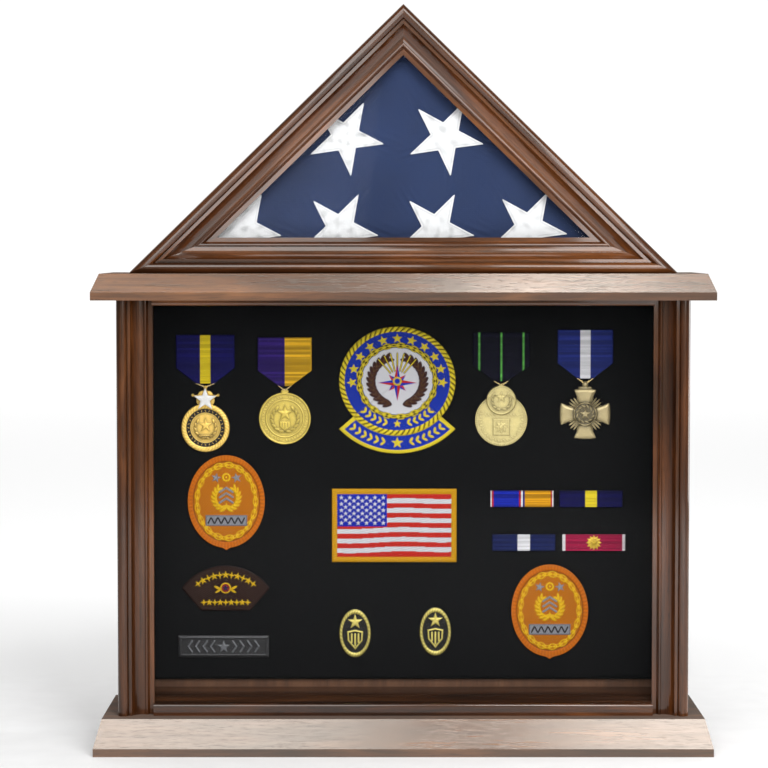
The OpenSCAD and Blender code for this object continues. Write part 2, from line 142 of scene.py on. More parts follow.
def walnut(name, grain_angle, shift=0.0, gloss=1.0, satin=0.0):
    """Dark stained walnut, with its grain along X once turned by the angle. It is lacquered, or
    satin with the refractive index given."""
    look = Look(name, Coat_Weight=gloss, Coat_Roughness=0.07, Coat_IOR=1.5, IOR=satin or 1.5,
                Specular_IOR_Level=0.5 if satin else 0.2, Coat_Tint=(1.0, 0.86, 0.72, 1.0),
                Specular_Tint=(1.0, 0.9, 0.8, 1.0))
    moved = look.add("Mapping", {"Vector": look.turned(look.place(), grain_angle),
                                 "Location": (shift, shift * 0.37, shift * 0.61)})
    broad = look.noise(look.scaled(moved, (5, 38, 38)), 1.0, 4.0, 0.6, 0.6)
    streaks = look.noise(look.scaled(moved, (16, 420, 420)), 1.0, 5.0, 0.62, 0.3)
    pores = look.noise(look.scaled(moved, (95, 2100, 2100)), 1.0, 2.0, 0.5)
    base = look.ramp(broad, (0.30, (0.016, 0.0053, 0.0020)), (0.50, (0.063, 0.0210, 0.0060)),
                     (0.72, (0.160, 0.0600, 0.0180)))
    shade_of_streaks = look.ramp(streaks, (0.30, 0.42), (0.52, 0.92), (0.75, 1.35))
    lined = look.mix(1.0, base, shade_of_streaks, "MULTIPLY")
    pits = look.ramp(pores, (0.30, 0.35), (0.42, 1.0))
    look.colour(look.mix(0.8, lined, pits, "MULTIPLY"))
    finish, upright, waviness = ((0.24, 0.17), 0.7, 0.3) if satin else ((0.42, 0.30), 0.0, 1.0)
    level = look.add("SeparateXYZ", {0: look.add("NewGeometry", {}, output=1)}, output=2)
    dusty = look.ramp(level, (0.02, upright), (0.08, 0.0), (0.985, 0.0), (0.999, 1.0))
    look.roughness(look.mix(dusty, look.between(streaks, *finish), (1.0, 1.0, 1.0)))
    ripple = look.noise(look.scaled(moved, (9, 60, 60)), 1.0, 2.0)
    look.bump((streaks, 0.00005 * waviness), (pits, 0.00003), (ripple, 0.00012 * waviness))
    return look.material


def panel_veneer():
    """Thin stained board of the rear panels, matt and a little lighter."""
    look = Look("Panel_veneer", Specular_IOR_Level=0.35)
    place = look.place()
    broad = look.noise(look.scaled(place, (45, 45, 4)), 1.0, 3.0, 0.6, 1.2)
    fine = look.noise(look.scaled(place, (900, 900, 24)), 1.0, 4.0)
    base = look.between(broad, (0.075, 0.032, 0.015), (0.17, 0.078, 0.037))
    look.colour(look.mix(0.7, base, look.between(fine, 0.55, 1.2), "MULTIPLY"))
    look.roughness(look.between(fine, 0.72, 0.55))
    look.bump((fine, 0.00008))
    return look.material


def clouded(name, colour, darker, cloud, roughness, depth, **shader):
    """One cloud of noise varies the colour and the roughness and gives the bump."""
    look = Look(name, **shader)
    factor = look.noise(look.place(), *cloud)
    look.colour(look.mix(factor, tuple(part * darker for part in colour), colour))
    look.roughness(look.between(factor, *roughness))
    look.bump((factor, depth))
    return look.material


def metal(name, colour, rough=0.28):
    """Plated metal with fine rubbing marks."""
    return clouded(name, colour, 0.72, (1400.0, 3.0), (rough * 0.7, rough * 1.5), 0.00002,
                   Metallic=1.0)


def glass():
    look = Look("Clear_glass", Base_Color=(0.01, 0.012, 0.012, 1), Alpha=0.07, IOR=1.5,
                Specular_IOR_Level=0.2)
    smear = look.noise(look.place(), 18.0, 2.0)
    look.roughness(look.ramp(smear, (0.35, 0.015), (0.7, 0.05)))
    return look.material


def beech():
    look = Look("Dowel_beech", Specular_IOR_Level=0.3)
    grain = look.noise(look.scaled(look.place(), (900, 900, 40)), 1.0, 4.0)
    look.colour(look.between(grain, (0.45, 0.29, 0.16), (0.66, 0.48, 0.30)))
    look.roughness(look.between(grain, 0.8, 0.65))
    look.bump((grain, 0.00008))
    return look.material


def felt():
    look = Look("Black_felt", Sheen_Weight=0.01, Sheen_Roughness=0.4, Specular_IOR_Level=0.05)
    place = look.place()
    fibres = look.noise(place, 1500.0, 4.0, 0.7, 1.5)
    look.colour(look.between(fibres, (0.0030, 0.0030, 0.0033), (0.0080, 0.0080, 0.0086)))
    look.roughness(look.between(fibres, 0.9, 1.0))
    look.bump((fibres, 0.0002), (look.noise(place, 90.0, 2.0), 0.0002))
    return look.material


def cotton(name, colour, weave=1300.0):
    """Woven cotton with a soft sheen; the tint shades it."""
    look = Look(name, Sheen_Weight=0.12, Sheen_Roughness=0.5, Specular_IOR_Level=0.2)
    place = look.place()
    threads = look.math("ADD", look.wave(place, weave / 6.28, 0.4),
                        look.wave(place, weave / 6.28, 0.4, "Z"))
    mottled = look.noise(place, 60.0, 3.0)
    dyed = look.mix(mottled, tuple(part * 0.86 for part in colour), colour)
    look.colour(look.mix(1.0, dyed, look.tint(), "MULTIPLY"))
    look.roughness(look.between(mottled, 0.82, 0.95))
    creases = look.noise(look.scaled(place, (60, 60, 60)), 1.0, 4.0, 0.6, 0.8)
    look.bump((threads, 0.000015), (creases, 0.0005))
    return look.material


def embroidery(name, pitch=0.0007, lean=35.0):
    """Satin stitched thread: fine slanting threads, a soft sheen and a few pulled ones."""
    look = Look(name, Sheen_Weight=0.04, Sheen_Roughness=0.4, Specular_IOR_Level=0.18)
    place = look.place()
    threads = look.wave(look.turned(place, lean), 1 / (pitch * 6.28), 0.7)
    fuzz = look.noise(place, 900.0, 3.0)
    # Painted shade: the thread colour is darkened between the slanting threads.
    lines = look.ramp(threads, (0.1, 0.55), (0.8, 1.0))
    shaded = look.mix(0.45, look.tint(), lines, "MULTIPLY")
    look.colour(look.mix(0.30, shaded, look.between(fuzz, 0.7, 1.1), "MULTIPLY"))
    look.roughness(look.between(fuzz, 0.50, 0.75))
    look.bump((threads, 0.00012), (fuzz, 0.00008))
    return look.material


def ribbon_cloth(name):
    look = Look(name, Sheen_Weight=0.01, Sheen_Roughness=0.35, Specular_IOR_Level=0.08)
    place = look.place()
    weft = look.noise(look.scaled(place, (260, 260, 2600)), 1.0, 2.0)
    moire = look.noise(look.scaled(place, (30, 30, 420)), 1.0, 3.0, 0.5, 1.0)
    look.colour(look.mix(0.5, look.tint(), look.between(moire, 0.72, 1.15), "MULTIPLY"))
    look.roughness(look.between(weft, 0.42, 0.62))
    look.bump((weft, 0.00006))
    return look.material


def struck(name, rough=0.36, metallic=0.48):
    """Struck metal whose tint gives its colour."""
    look = Look(name, Metallic=metallic, Specular_IOR_Level=0.6)
    marks = look.noise(look.place(), 1500.0, 3.0)
    patina = look.noise(look.place(), 220.0, 3.0)
    look.colour(look.mix(0.5, look.tint(), look.between(patina, 0.72, 1.08), "MULTIPLY"))
    look.roughness(look.between(marks, rough * 0.8, rough * 1.3))
    look.bump((marks, 0.00003), (patina, 0.00005))
    return look.material


# ---- Dressing the CAD nodes ----

def assign(material, *nodes):
    for node in nodes:
        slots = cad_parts[node].data.materials
        slots.clear()
        slots.append(material)


def soften(width, segments, *nodes):
    """Rounds the arrises of CAD nodes."""
    for node in nodes:
        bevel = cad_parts[node].modifiers.new("arris", "BEVEL")
        bevel.width = width
        bevel.segments = segments
        bevel.limit_method = "ANGLE"
        bevel.angle_limit = math.radians(28)
        bevel.harden_normals = False
        bevel.use_clamp_overlap = True


def dress_wood():
    low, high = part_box("folded_flag")
    slope = math.degrees(math.atan2(high.z - low.z, (high.x - low.x) / 2))
    across = ("front_bottom_rail", "front_top_rail", "flag_moulding_bottom")
    uprights = ("box_left_side", "box_right_side", "box_glazing_left", "box_glazing_right")
    floors = ("box_floor", "box_glazing_top", "flag_case_floor", "flag_glazing_bottom")
    assign(walnut("Walnut_base", 0, gloss=0.0, satin=2.15), "base_board")
    assign(walnut("Walnut_shelf", 0, 1.7, gloss=0.0, satin=1.7), "shelf_board")
    for name, angle, shift, gloss, nodes in (
            ("rails", 0, 3.1, 1.0, across),
            ("left_pilaster", 90, 0.9, 0.65, ["pilaster_left"]),
            ("right_pilaster", 90, 2.3, 1.0, ["pilaster_right"]),
            ("left_leg", slope, 4.1, 1.0, ["flag_moulding_left"]),
            ("right_leg", -slope, 5.3, 1.0, ["flag_moulding_right"]),
            ("case_upright", 90, 6.2, 0.6, uprights),
            ("case_across", 0, 7.4, 0.6, floors),
            ("case_left", slope, 8.2, 0.6, ["flag_case_left_board", "flag_glazing_left"]),
            ("case_right", -slope, 9.5, 0.6, ["flag_case_right_board", "flag_glazing_right"])):
        assign(walnut("Walnut_" + name, angle, shift, gloss), *nodes)
    assign(panel_veneer(), "box_back_panel", "flag_back_panel")
    assign(beech(), "shelf_dowels")
    soften(0.0006, 2, "base_board", "shelf_board", "front_bottom_rail", "front_top_rail")
    soften(0.0003, 2, "pilaster_left", "pilaster_right", "flag_moulding_bottom",
           "flag_moulding_left", "flag_moulding_right")
    soften(0.0003, 1, "box_left_side", "box_right_side", "box_floor", "flag_case_floor",
           "flag_case_left_board", "flag_case_right_board", "box_back_panel", "flag_back_panel")


def dress_metal():
    buttons = [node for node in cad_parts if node.startswith("turn_button")]
    assign(metal("Zinc_screws", (0.55, 0.56, 0.58)), "base_screws", "flag_case_screws")
    assign(metal("Brass_plate", (0.72, 0.52, 0.22), 0.25), "button_screws",
           "ribbon_bar_frames", *buttons)
    assign(metal("Gold_wire", (0.86, 0.66, 0.30), 0.2), "medal_bails")
    soften(0.0003, 2, "medal_bails", "button_screws", *buttons)


# ---- Building meshes ----

def add_piece(name, solid, material, slot, *nodes, body="box_back"):
    """A new piece from its points, faces and tint; it stands for the CAD nodes named."""
    points, faces, tint = solid
    mesh = bpy.data.meshes.new(name)
    mesh.from_pydata(points.tolist(), [], faces)
    mesh.polygons.foreach_set("use_smooth", [True] * len(mesh.polygons))
    if tint is not None:
        layer = mesh.color_attributes.new("tint", "FLOAT_COLOR", "POINT")
        layer.data.foreach_set("color", np.column_stack([tint, np.ones(len(tint))]).ravel())
    mesh.materials.append(material)
    piece = bpy.data.objects.new(name, mesh)
    bpy.context.scene.collection.objects.link(piece)
    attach(piece, body)
    if nodes:
        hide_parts(*nodes)
    return piece


def polar_solid(centre, reach_at, rings, sides, shape, back_y=FRONT_OF_FELT, thick=None):
    """Points, faces and tint of a solid whose outline is at reach_at(angle) round its centre.

    shape(x, z) takes millimetres from the centre and gives how far the front stands before
    back_y, in millimetres, and the tint. Its back is flat at back_y, or a thick is how many
    millimetres the back's edge and middle lie under the front's.
    """
    turn = np.linspace(0, 2 * np.pi, sides, endpoint=False)
    reach = reach_at(turn)
    share = (np.arange(rings + 1) / rings)[1:, None]
    x = np.concatenate([[0.0], (share * reach * np.cos(turn)).ravel()])
    z = np.concatenate([[0.0], (share * reach * np.sin(turn)).ravel()])
    rise, tint = shape(x, z)
    rim = slice(1 + (rings - 1) * sides, None)
    under = np.zeros(sides + 1) if thick is None else thick - np.append(rise[rim], rise[0])
    px = np.concatenate([x, x[rim], x[rim], [0.0]])
    pz = np.concatenate([z, z[rim], z[rim], [0.0]])
    py = np.concatenate([-rise, (under[:-1] - rise[rim]) / 2, under])
    tint = np.concatenate([tint, tint[rim], tint[rim], tint[:1]])
    points = np.column_stack([px * MM + centre[0], py * MM + back_y, pz * MM + centre[1]])
    step = np.arange(sides)
    after = (step + 1) % sides
    faces = [(0, int(a) + 1, int(b) + 1) for a, b in zip(step, after)]
    for ring in range(rings + 1):
        inner, outer = 1 + ring * sides, 1 + (ring + 1) * sides
        faces += np.column_stack([inner + step, outer + step, outer + after,
                                  inner + after]).tolist()
    last = 1 + (rings + 1) * sides
    faces += [(last + int(b), last + int(a), len(points) - 1) for a, b in zip(step, after)]
    return points, faces, tint


def grid_solid(x, z, front, back):
    """Points and faces of a closed slab from grids of x, z and the front and back depths, in
    metres. Rows run up and columns run to the right."""
    rows, columns = x.shape
    points = np.concatenate([np.column_stack([x.ravel(), front.ravel(), z.ravel()]),
                             np.column_stack([x.ravel(), back.ravel(), z.ravel()])])
    at = np.arange(rows * columns).reshape(rows, columns)
    quads = np.stack([at[:-1, :-1], at[:-1, 1:], at[1:, 1:], at[1:, :-1]], -1).reshape(-1, 4)
    behind = rows * columns
    faces = quads.tolist() + (quads[:, ::-1] + behind).tolist()
    edge = np.concatenate([at[0, :-1], at[:-1, -1], at[-1, :0:-1], at[:0:-1, 0]])
    following = np.roll(edge, -1)
    faces += np.column_stack([edge, edge + behind, following + behind, following]).tolist()
    return points, faces


def merge(*solids):
    """Joins the points, faces and tints of several solids."""
    points, faces, tints, count = [], [], [], 0
    for part_points, part_faces, part_tint in solids:
        points.append(part_points)
        tints.append(part_tint)
        faces += [tuple(index + count for index in face) for face in part_faces]
        count += len(part_points)
    return np.concatenate(points), faces, np.concatenate(tints)


# ---- Drawing in relief, in millimetres ----

def polar(length, angle):
    return length * math.cos(angle), length * math.sin(angle)


def polygon(x, z, corners):
    """Signed distance to a polygon, negative inside."""
    best = np.full(x.shape, 1e9)
    inside = np.zeros(x.shape, bool)
    for index, (ax, az) in enumerate(corners):
        bx, bz = corners[index - 1]
        ex, ez = bx - ax, bz - az
        share = np.clip(((x - ax) * ex + (z - az) * ez) / (ex * ex + ez * ez), 0, 1)
        best = np.minimum(best, np.hypot(x - ax - ex * share, z - az - ez * share))
        crosses = (az > z) != (bz > z)
        slope = ex * (z - az) / (ez if ez else 1e-9) + ax
        inside ^= crosses & (x < slope)
    return np.where(inside, -best, best)


def star_corners(outer, inner, tips=5, turn=90.0, at=(0, 0)):
    corners = []
    for index in range(2 * tips):
        x, z = polar(inner if index % 2 else outer, math.radians(turn + 180 * index / tips))
        corners.append((at[0] + x, at[1] + z))
    return corners


def reach_of(corners):
    """How far the outline of a polygon is from its origin, as a function of the angle."""
    def reach(turn):
        far = np.full(turn.shape, 1e9)
        cx, cz = np.cos(turn), np.sin(turn)
        for index, (ax, az) in enumerate(corners):
            bx, bz = corners[index - 1]
            ex, ez = bx - ax, bz - az
            cross = cx * ez - cz * ex
            cross = np.where(np.abs(cross) < 1e-9, 1e-9, cross)
            length = (ax * ez - az * ex) / cross
            share = (ax * cz - az * cx) / cross
            hit = (length > 1e-6) & (share >= -1e-6) & (share <= 1 + 1e-6)
            far = np.where(hit & (length < far), length, far)
        return far
    return reach


def ellipse_reach(half_x, half_z):
    def reach(turn):
        return 1 / np.hypot(np.cos(turn) / half_x, np.sin(turn) / half_z)
    return reach


def circle(radius):
    return lambda turn: np.full(turn.shape, radius)


def off_foot(turn):
    """How far an angle is from straight down."""
    return np.abs(np.angle(np.exp(1j * (turn + np.pi / 2))))


def strokes(radius, count, length, leans):
    """The ends of short strokes round a circle, each leaning off the radius."""
    for index in range(count):
        angle = 2 * math.pi * index / count
        x, z = polar(radius, angle)
        dx, dz = polar(length / 2, angle + leans[index % len(leans)])
        yield (x - dx, z - dz), (x + dx, z + dz)


class Relief:
    """Colour and height laid over an area, one shape on another."""

    def __init__(self, x, z, colour, rise):
        self.x, self.z = x, z
        self.radius, self.turn = np.hypot(x, z), np.arctan2(z, x)
        self.tint = np.tile(np.array(colour, float), (len(x), 1))
        self.rise = np.full(len(x), float(rise))

    def disc(self, radius, at=(0, 0)):
        return np.hypot(self.x - at[0], self.z - at[1]) - radius

    def hoop(self, radius, half_width, at=(0, 0)):
        return np.abs(self.disc(radius, at)) - half_width

    def bar(self, start, end, radius):
        """Distance to a round-ended bar."""
        along = np.subtract(end, start)
        x, z = self.x - start[0], self.z - start[1]
        share = np.clip((x * along[0] + z * along[1]) / max(along @ along, 1e-9), 0, 1)
        return np.hypot(x - share * along[0], z - share * along[1]) - radius

    def leaf(self, at, angle, length, width):
        x, z = self.x - at[0], self.z - at[1]
        along = x * math.cos(angle) + z * math.sin(angle)
        across = z * math.cos(angle) - x * math.sin(angle)
        return (np.hypot(2 * along / length, 2 * across / width) - 1) * width / 2

    def polygon(self, corners):
        return polygon(self.x, self.z, corners)

    def star(self, outer, inner, up=0, tips=5, turn=90.0, across=0):
        return self.polygon(star_corners(outer, inner, tips, turn, (across, up)))

    def lay(self, distance, colour=None, rise=0.0, round_over=0.6, soft=0.35):
        """Inside the distance the colour covers what is there and the surface rises."""
        cover = np.clip(0.5 - distance / soft, 0, 1)[:, None]
        if colour is not None:
            self.tint = self.tint * (1 - cover) + np.asarray(colour, float) * cover
        depth = np.clip(-distance / round_over, 0, 1)
        self.rise += rise * np.sqrt(1 - (1 - depth) ** 2)

    def light(self, amount, inside=True):
        self.tint *= np.where(inside, amount, 1)[:, None]

    def paint_shade_round(self, distance, depth=0.4, soft=0.8):
        """Paints shade on the ground round a raised shape, where its shadow falls."""
        near = np.exp(-np.clip(distance, 0, None) / soft)
        self.light(1 - depth * near, distance > 0)

    def emboss(self, distance, rise, round_over=0.8, depth=0.6):
        # Raises the shape and paints shade round it; depth is how dark the painted shade gets.
        self.paint_shade_round(distance, depth)
        self.lay(distance, None, rise, round_over)

    def marks(self, radius, count, length, half_width, rise, skip=()):
        """Short raised strokes round a band, with painted shade round each."""
        for index, ends in enumerate(strokes(radius, count, length, (-0.7, 0.5, 0.5))):
            if index not in skip:
                self.emboss(self.bar(*ends, half_width), rise, half_width, 0.25)

    def laurel(self, radius, first, last, count, size, colour, rise, lean=28, up=0.0):
        """Paired leaves up both sides, between two angles from the foot of a circle."""
        for side in SIDES:
            for index in range(count):
                turn = -90 + side * (first + (last - first) * index / (count - 1))
                x, z = polar(radius, math.radians(turn))
                for tilt in (turn + side * 90 - lean, turn + side * 90 + lean):
                    dx, dz = polar(0.42 * size[0], math.radians(tilt))
                    stem = (x + dx, up + z + dz)
                    self.lay(self.leaf(stem, math.radians(tilt), *size), colour, rise,
                             size[1] / 3)

    def spray(self, radius, start, step, count, lean, size, *relief, up=0.0):
        """Single struck leaves up both sides, with painted shade round each."""
        for side in SIDES:
            for index in range(count):
                angle = math.radians(start + step * index)
                x, z = polar(radius, angle)
                tilt = math.pi / 2 - side * (math.pi / 2 - angle - lean)
                self.emboss(self.leaf((side * x, up + z), tilt, *size), *relief)

    def result(self):
        return self.rise, self.tint


# ---- Folded flag ----

FLAG_LOW, FLAG_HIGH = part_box("folded_flag")
FLAG_DEPTH = (FLAG_HIGH.y - FLAG_LOW.y) / MM
HALF_WIDTH = (FLAG_HIGH.x - FLAG_LOW.x) / 2
SLOPE = math.atan2(FLAG_HIGH.z - FLAG_LOW.z, HALF_WIDTH)
STAR_RADIUS = 30.7
STAR_TURN = -82.0
STARS = [(-44.5, 474.9), (32.4, 474.9), (-123.6, 404.3), (-48.6, 404.3), (25.6, 404.3),
         (97.3, 405.6)]


def flag_outline(centre, inset):
    """Corners of the folded flag's triangle round a centre, in millimetres."""
    half = HALF_WIDTH / MM - inset / math.tan(SLOPE / 2)
    foot = FLAG_LOW.z / MM + inset
    peak = FLAG_HIGH.z / MM - inset / math.cos(SLOPE)
    corners = [(-half, foot), (half, foot), (0.0, peak)]
    return [(x - centre[0], z - centre[1]) for x, z in corners]


def waves(x, z, seed, length, count=7):
    """Smooth uneven waves between -1 and 1, the same each run."""
    draw = np.random.default_rng(seed)
    total = np.zeros(x.shape)
    for _ in range(count):
        turn = draw.uniform(0, math.pi)
        pitch = length * draw.uniform(0.7, 1.6)
        total += np.sin((x * math.cos(turn) + z * math.sin(turn)) * 2 * math.pi / pitch
                        + draw.uniform(0, 2 * math.pi))
    return total / math.sqrt(count) / 1.4


def cloth_rise(x, z):
    """How far the flag's front bulges before its plain triangle, in millimetres."""
    edge = -polygon(x, z, flag_outline((0, 0), 0))
    crown = 3.6 * (1 - np.exp(-np.clip(edge, 0, None) / 22))
    rise = crown + 0.5 * waves(x, z, 3, 75) + 0.16 * waves(x, z, 5, 26)
    for at_x, at_z in STARS:
        for tip in range(5):
            angle = math.radians(STAR_TURN + 72 * tip)
            along = (x - at_x) * math.cos(angle) + (z - at_z) * math.sin(angle) - STAR_RADIUS
            across = (z - at_z) * math.cos(angle) - (x - at_x) * math.sin(angle)
            near = np.exp(-(along / 12) ** 2 - (across / 7) ** 2)
            rise += 0.34 * near * np.cos(across * 1.1 + 0.25 * along)
    corner = np.clip(1 - edge / 5.0, 0, 1)
    return rise - 5.0 * corner ** 2


def make_flag():
    centre_z = FLAG_LOW.z + HALF_WIDTH * math.tan(SLOPE / 2)
    centre = (0.0, centre_z / MM)

    def shape(x, z):
        rise = FLAG_DEPTH + cloth_rise(x + centre[0], z + centre[1])
        edge = -polygon(x, z, flag_outline(centre, 0))
        # Painted shade: the navy darkens towards the triangle's edges, where the moulding shades
        # it; cloud is random tone.
        painted_edge_shade = 1 - 0.5 * np.exp(-np.clip(edge, 0, None) / 12)
        cloud = 1 + 0.10 * waves(x, z, 9, 60)
        return rise, np.repeat((painted_edge_shade * cloud)[:, None], 3, 1)

    solid = polar_solid((0.0, centre_z), reach_of(flag_outline(centre, 0.3)), 110, 540, shape,
                        FLAG_HIGH.y)
    flag = add_piece("Folded_flag", solid, cotton("Flag_navy", (0.022, 0.038, 0.100)),
                     "flag_cotton", "folded_flag", body="case")
    white = cotton("Flag_star_white", (0.80, 0.81, 0.82), 900.0)
    for number, place in enumerate(STARS, 1):
        make_flag_star(number, place, white, flag)


def make_flag_star(number, place, material, flag):
    corners = star_corners(STAR_RADIUS, STAR_RADIUS * 0.375, turn=STAR_TURN)
    tips, sides = reach_of(corners), reach_of(flag_outline(place, 3.0))

    def shape(x, z):
        inward = -polygon(x, z, corners)
        rise = FLAG_DEPTH + cloth_rise(x + place[0], z + place[1])
        seam = np.exp(-((inward - 1.6) / 0.4) ** 2)
        wrinkle = 0.30 * waves(x, z, 20 + number, 14) + 0.16 * waves(x, z, 40 + number, 6)
        lift = 1.0 + 0.5 * np.sqrt(np.clip(inward / 6, 0, 1)) - 0.12 * seam
        lift += wrinkle * np.clip(inward / 2.5, 0, 1)
        # Painted shade: grey along the seam groove and in patches where wrinkles shade the star,
        # heavier on the two stars at the left.
        wrinkle_shade = 0.34 if number in (1, 3) else 0.24
        grey = 1 - 0.18 * seam - wrinkle_shade * np.clip(waves(x, z, 60 + number, 9) - 0.2, 0, 1)
        return rise + np.clip(lift, 0.35, None), np.repeat(grey[:, None], 3, 1)

    solid = polar_solid((place[0] * MM, place[1] * MM),
                        lambda turn: np.minimum(tips(turn), sides(turn)), 44, 240, shape,
                        FLAG_HIGH.y, thick=1.2)
    star = add_piece(f"Flag_star_{number}", solid, material, "flag_cotton", body="case")
    star.parent = flag
    star.matrix_parent_inverse = flag.matrix_world.inverted()


# ---- Felt ----

def make_felt():
    low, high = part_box("felt_board")
    x, z = np.meshgrid(np.linspace(low.x, high.x, 180), np.linspace(low.z, high.z, 130))
    edge = np.minimum.reduce([x - low.x, high.x - x, z - low.z, high.z - z])
    turn_down = 0.0012 * np.clip(1 - edge / 0.0026, 0, 1) ** 2
    soft = 0.00012 * waves(x / MM, z / MM, 8, 30)
    front = low.y + turn_down + np.where(edge > 0.004, np.clip(soft, 0, None), 0)
    points, faces = grid_solid(x, z, front, np.full(x.shape, high.y))
    piece = add_piece("Felt_board", (points, faces, None), felt(), "black_felt", "felt_board")


# ---- Patches ----

def shade(red, green, blue, strength=0.78):
    """Reflectance of a colour given as it looks on a screen."""
    return np.array([(part / 255) ** 2.2 * strength for part in (red, green, blue)])


BLACK_THREAD = shade(16, 14, 18)
YELLOW_THREAD = shade(238, 214, 50)
WHITE_THREAD = shade(226, 226, 232)


def make_patch(node, slot, from_top, reach, fineness, drawing, pitch=0.0007, lean=35.0):
    """An embroidered patch laid on the felt; its middle is from_top mm under its top."""
    low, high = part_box(node)
    name = node.capitalize()
    centre = ((low.x + high.x) / 2, high.z - from_top * MM)
    piece = add_piece(name, polar_solid(centre, reach, *fineness, drawing),
                      embroidery(name + "_thread", pitch, lean), slot, node)


def chain(relief, along, across, pitch, half_length, wire, colour, outline=0.0):
    """Oval links in a row; every second one is seen from its edge."""
    for offset, width in ((0.0, 2.0), (0.5, 2.0 * 0.42)):
        local = ((along / (2 * pitch) + offset) % 1.0 - 0.5) * 2 * pitch
        link = np.abs(np.hypot(local / half_length, across / width) - 1) * width
        if outline:
            relief.lay(link - wire - outline, BLACK_THREAD)
        relief.lay(link - wire, colour, 0.5, wire)


def compass_rose(relief, size, up, dark, light):
    for turn, length in ((45.0, 0.62), (0.0, 1.0)):
        for quarter in range(4):
            angle = math.radians(turn + 90 * quarter)
            tip = polar(size * length, angle)
            for side, colour in ((-1, dark), (1, light)):
                shoulder = polar(size * 0.24, angle + side * math.pi / 4)
                corners = [(x, z + up) for x, z in ((0, 0), tip, shoulder)]
                relief.lay(relief.polygon(corners) - 0.1, colour, 0.35, 1.0)


ROUND_X, ROUND_Z = 46.5, 43.6


def draw_round_patch(x, z):
    relief = Relief(x, z * (ROUND_X / ROUND_Z), BLACK_THREAD, 1.2)
    radius, turn = relief.radius, relief.turn
    blue, eye_blue = shade(14, 50, 172), shade(24, 52, 190)
    side_gap = (math.radians(49) - off_foot(turn)) * radius
    banner = -np.minimum(62 - radius, side_gap)
    relief.lay(banner, YELLOW_THREAD, 0.7, 1.6)
    relief.lay(np.maximum(banner + 3.3, 46.8 - radius), blue, -0.35, 0.5)
    relief.lay(radius - 42.2, blue, 0.2)
    twist = np.cos(turn * 62 + (radius - 44.3) / 2.2 * 2.6)
    rope = np.abs(radius - 44.3) - 2.2
    relief.lay(rope, BLACK_THREAD)
    relief.lay(np.where(twist > -0.84, rope, 1.0), YELLOW_THREAD * 1.12, 0.9, 2.2)
    relief.rise += np.where(rope < 0, 0.25 * twist, 0)
    # Painted shade and highlight: each twisted rope strand is lighter on its crest and darker at
    # its sides.
    relief.light(0.80 + 0.25 * np.clip(twist, -0.4, 1), rope < 0)
    relief.lay(radius - 28.6, WHITE_THREAD, 0.1)
    relief.lay(np.abs(radius - 30.4) - 1.9, BLACK_THREAD)
    chain(relief, (turn + math.pi) * 30.4, radius - 30.4, 30.4 * 2 * math.pi / 34, 3.6, 0.42,
          YELLOW_THREAD, 0.3)
    for step in range(11):
        angle = 182 - step * 18.4
        across, up = polar(36.2, math.radians(angle))
        relief.lay(relief.star(4.3, 1.9, up, turn=angle, across=across), YELLOW_THREAD, 0.5)
    relief.laurel(36.4, 13, 44, 5, (4.6, 1.9), YELLOW_THREAD, 0.4, 46)
    relief.laurel(52.8, 11, 40, 6, (4.8, 2.0), YELLOW_THREAD, 0.5, 48)
    for up, size in ((-36.4, 3.6), (-52.8, 5.0)):
        relief.lay(relief.star(size, size * 0.42, up), YELLOW_THREAD, 0.5)
    relief.laurel(20.5, 14, 152, 13, (8.0, 3.2), shade(66, 34, 30), 0.5)
    relief.laurel(20.5, 18, 148, 12, (4.6, 1.0), shade(96, 66, 34), 0.2)
    for step in range(-3, 4):
        angle = math.radians(90 + step * 13)
        for width, thread, rise in ((0.75, BLACK_THREAD, 0.1), (0.42, YELLOW_THREAD, 0.3)):
            relief.lay(relief.bar(polar(9.0, angle), polar(23.5, angle), width), thread, rise)
    compass_rose(relief, 15.0, -1.5, eye_blue, shade(206, 40, 40))
    relief.lay(relief.disc(3.6), YELLOW_THREAD, 0.5)
    relief.lay(relief.disc(2.2), eye_blue, 0.2)
    return relief.result()


def round_reach(turn):
    circle_turn = np.arctan2(np.sin(turn) * ROUND_X / ROUND_Z, np.cos(turn))
    outward = np.where(off_foot(circle_turn) < math.radians(49), 60 / 45, 1.0)
    return ellipse_reach(ROUND_X, ROUND_Z)(turn) * outward


OVAL_X, OVAL_Z = 30.8, 37.2


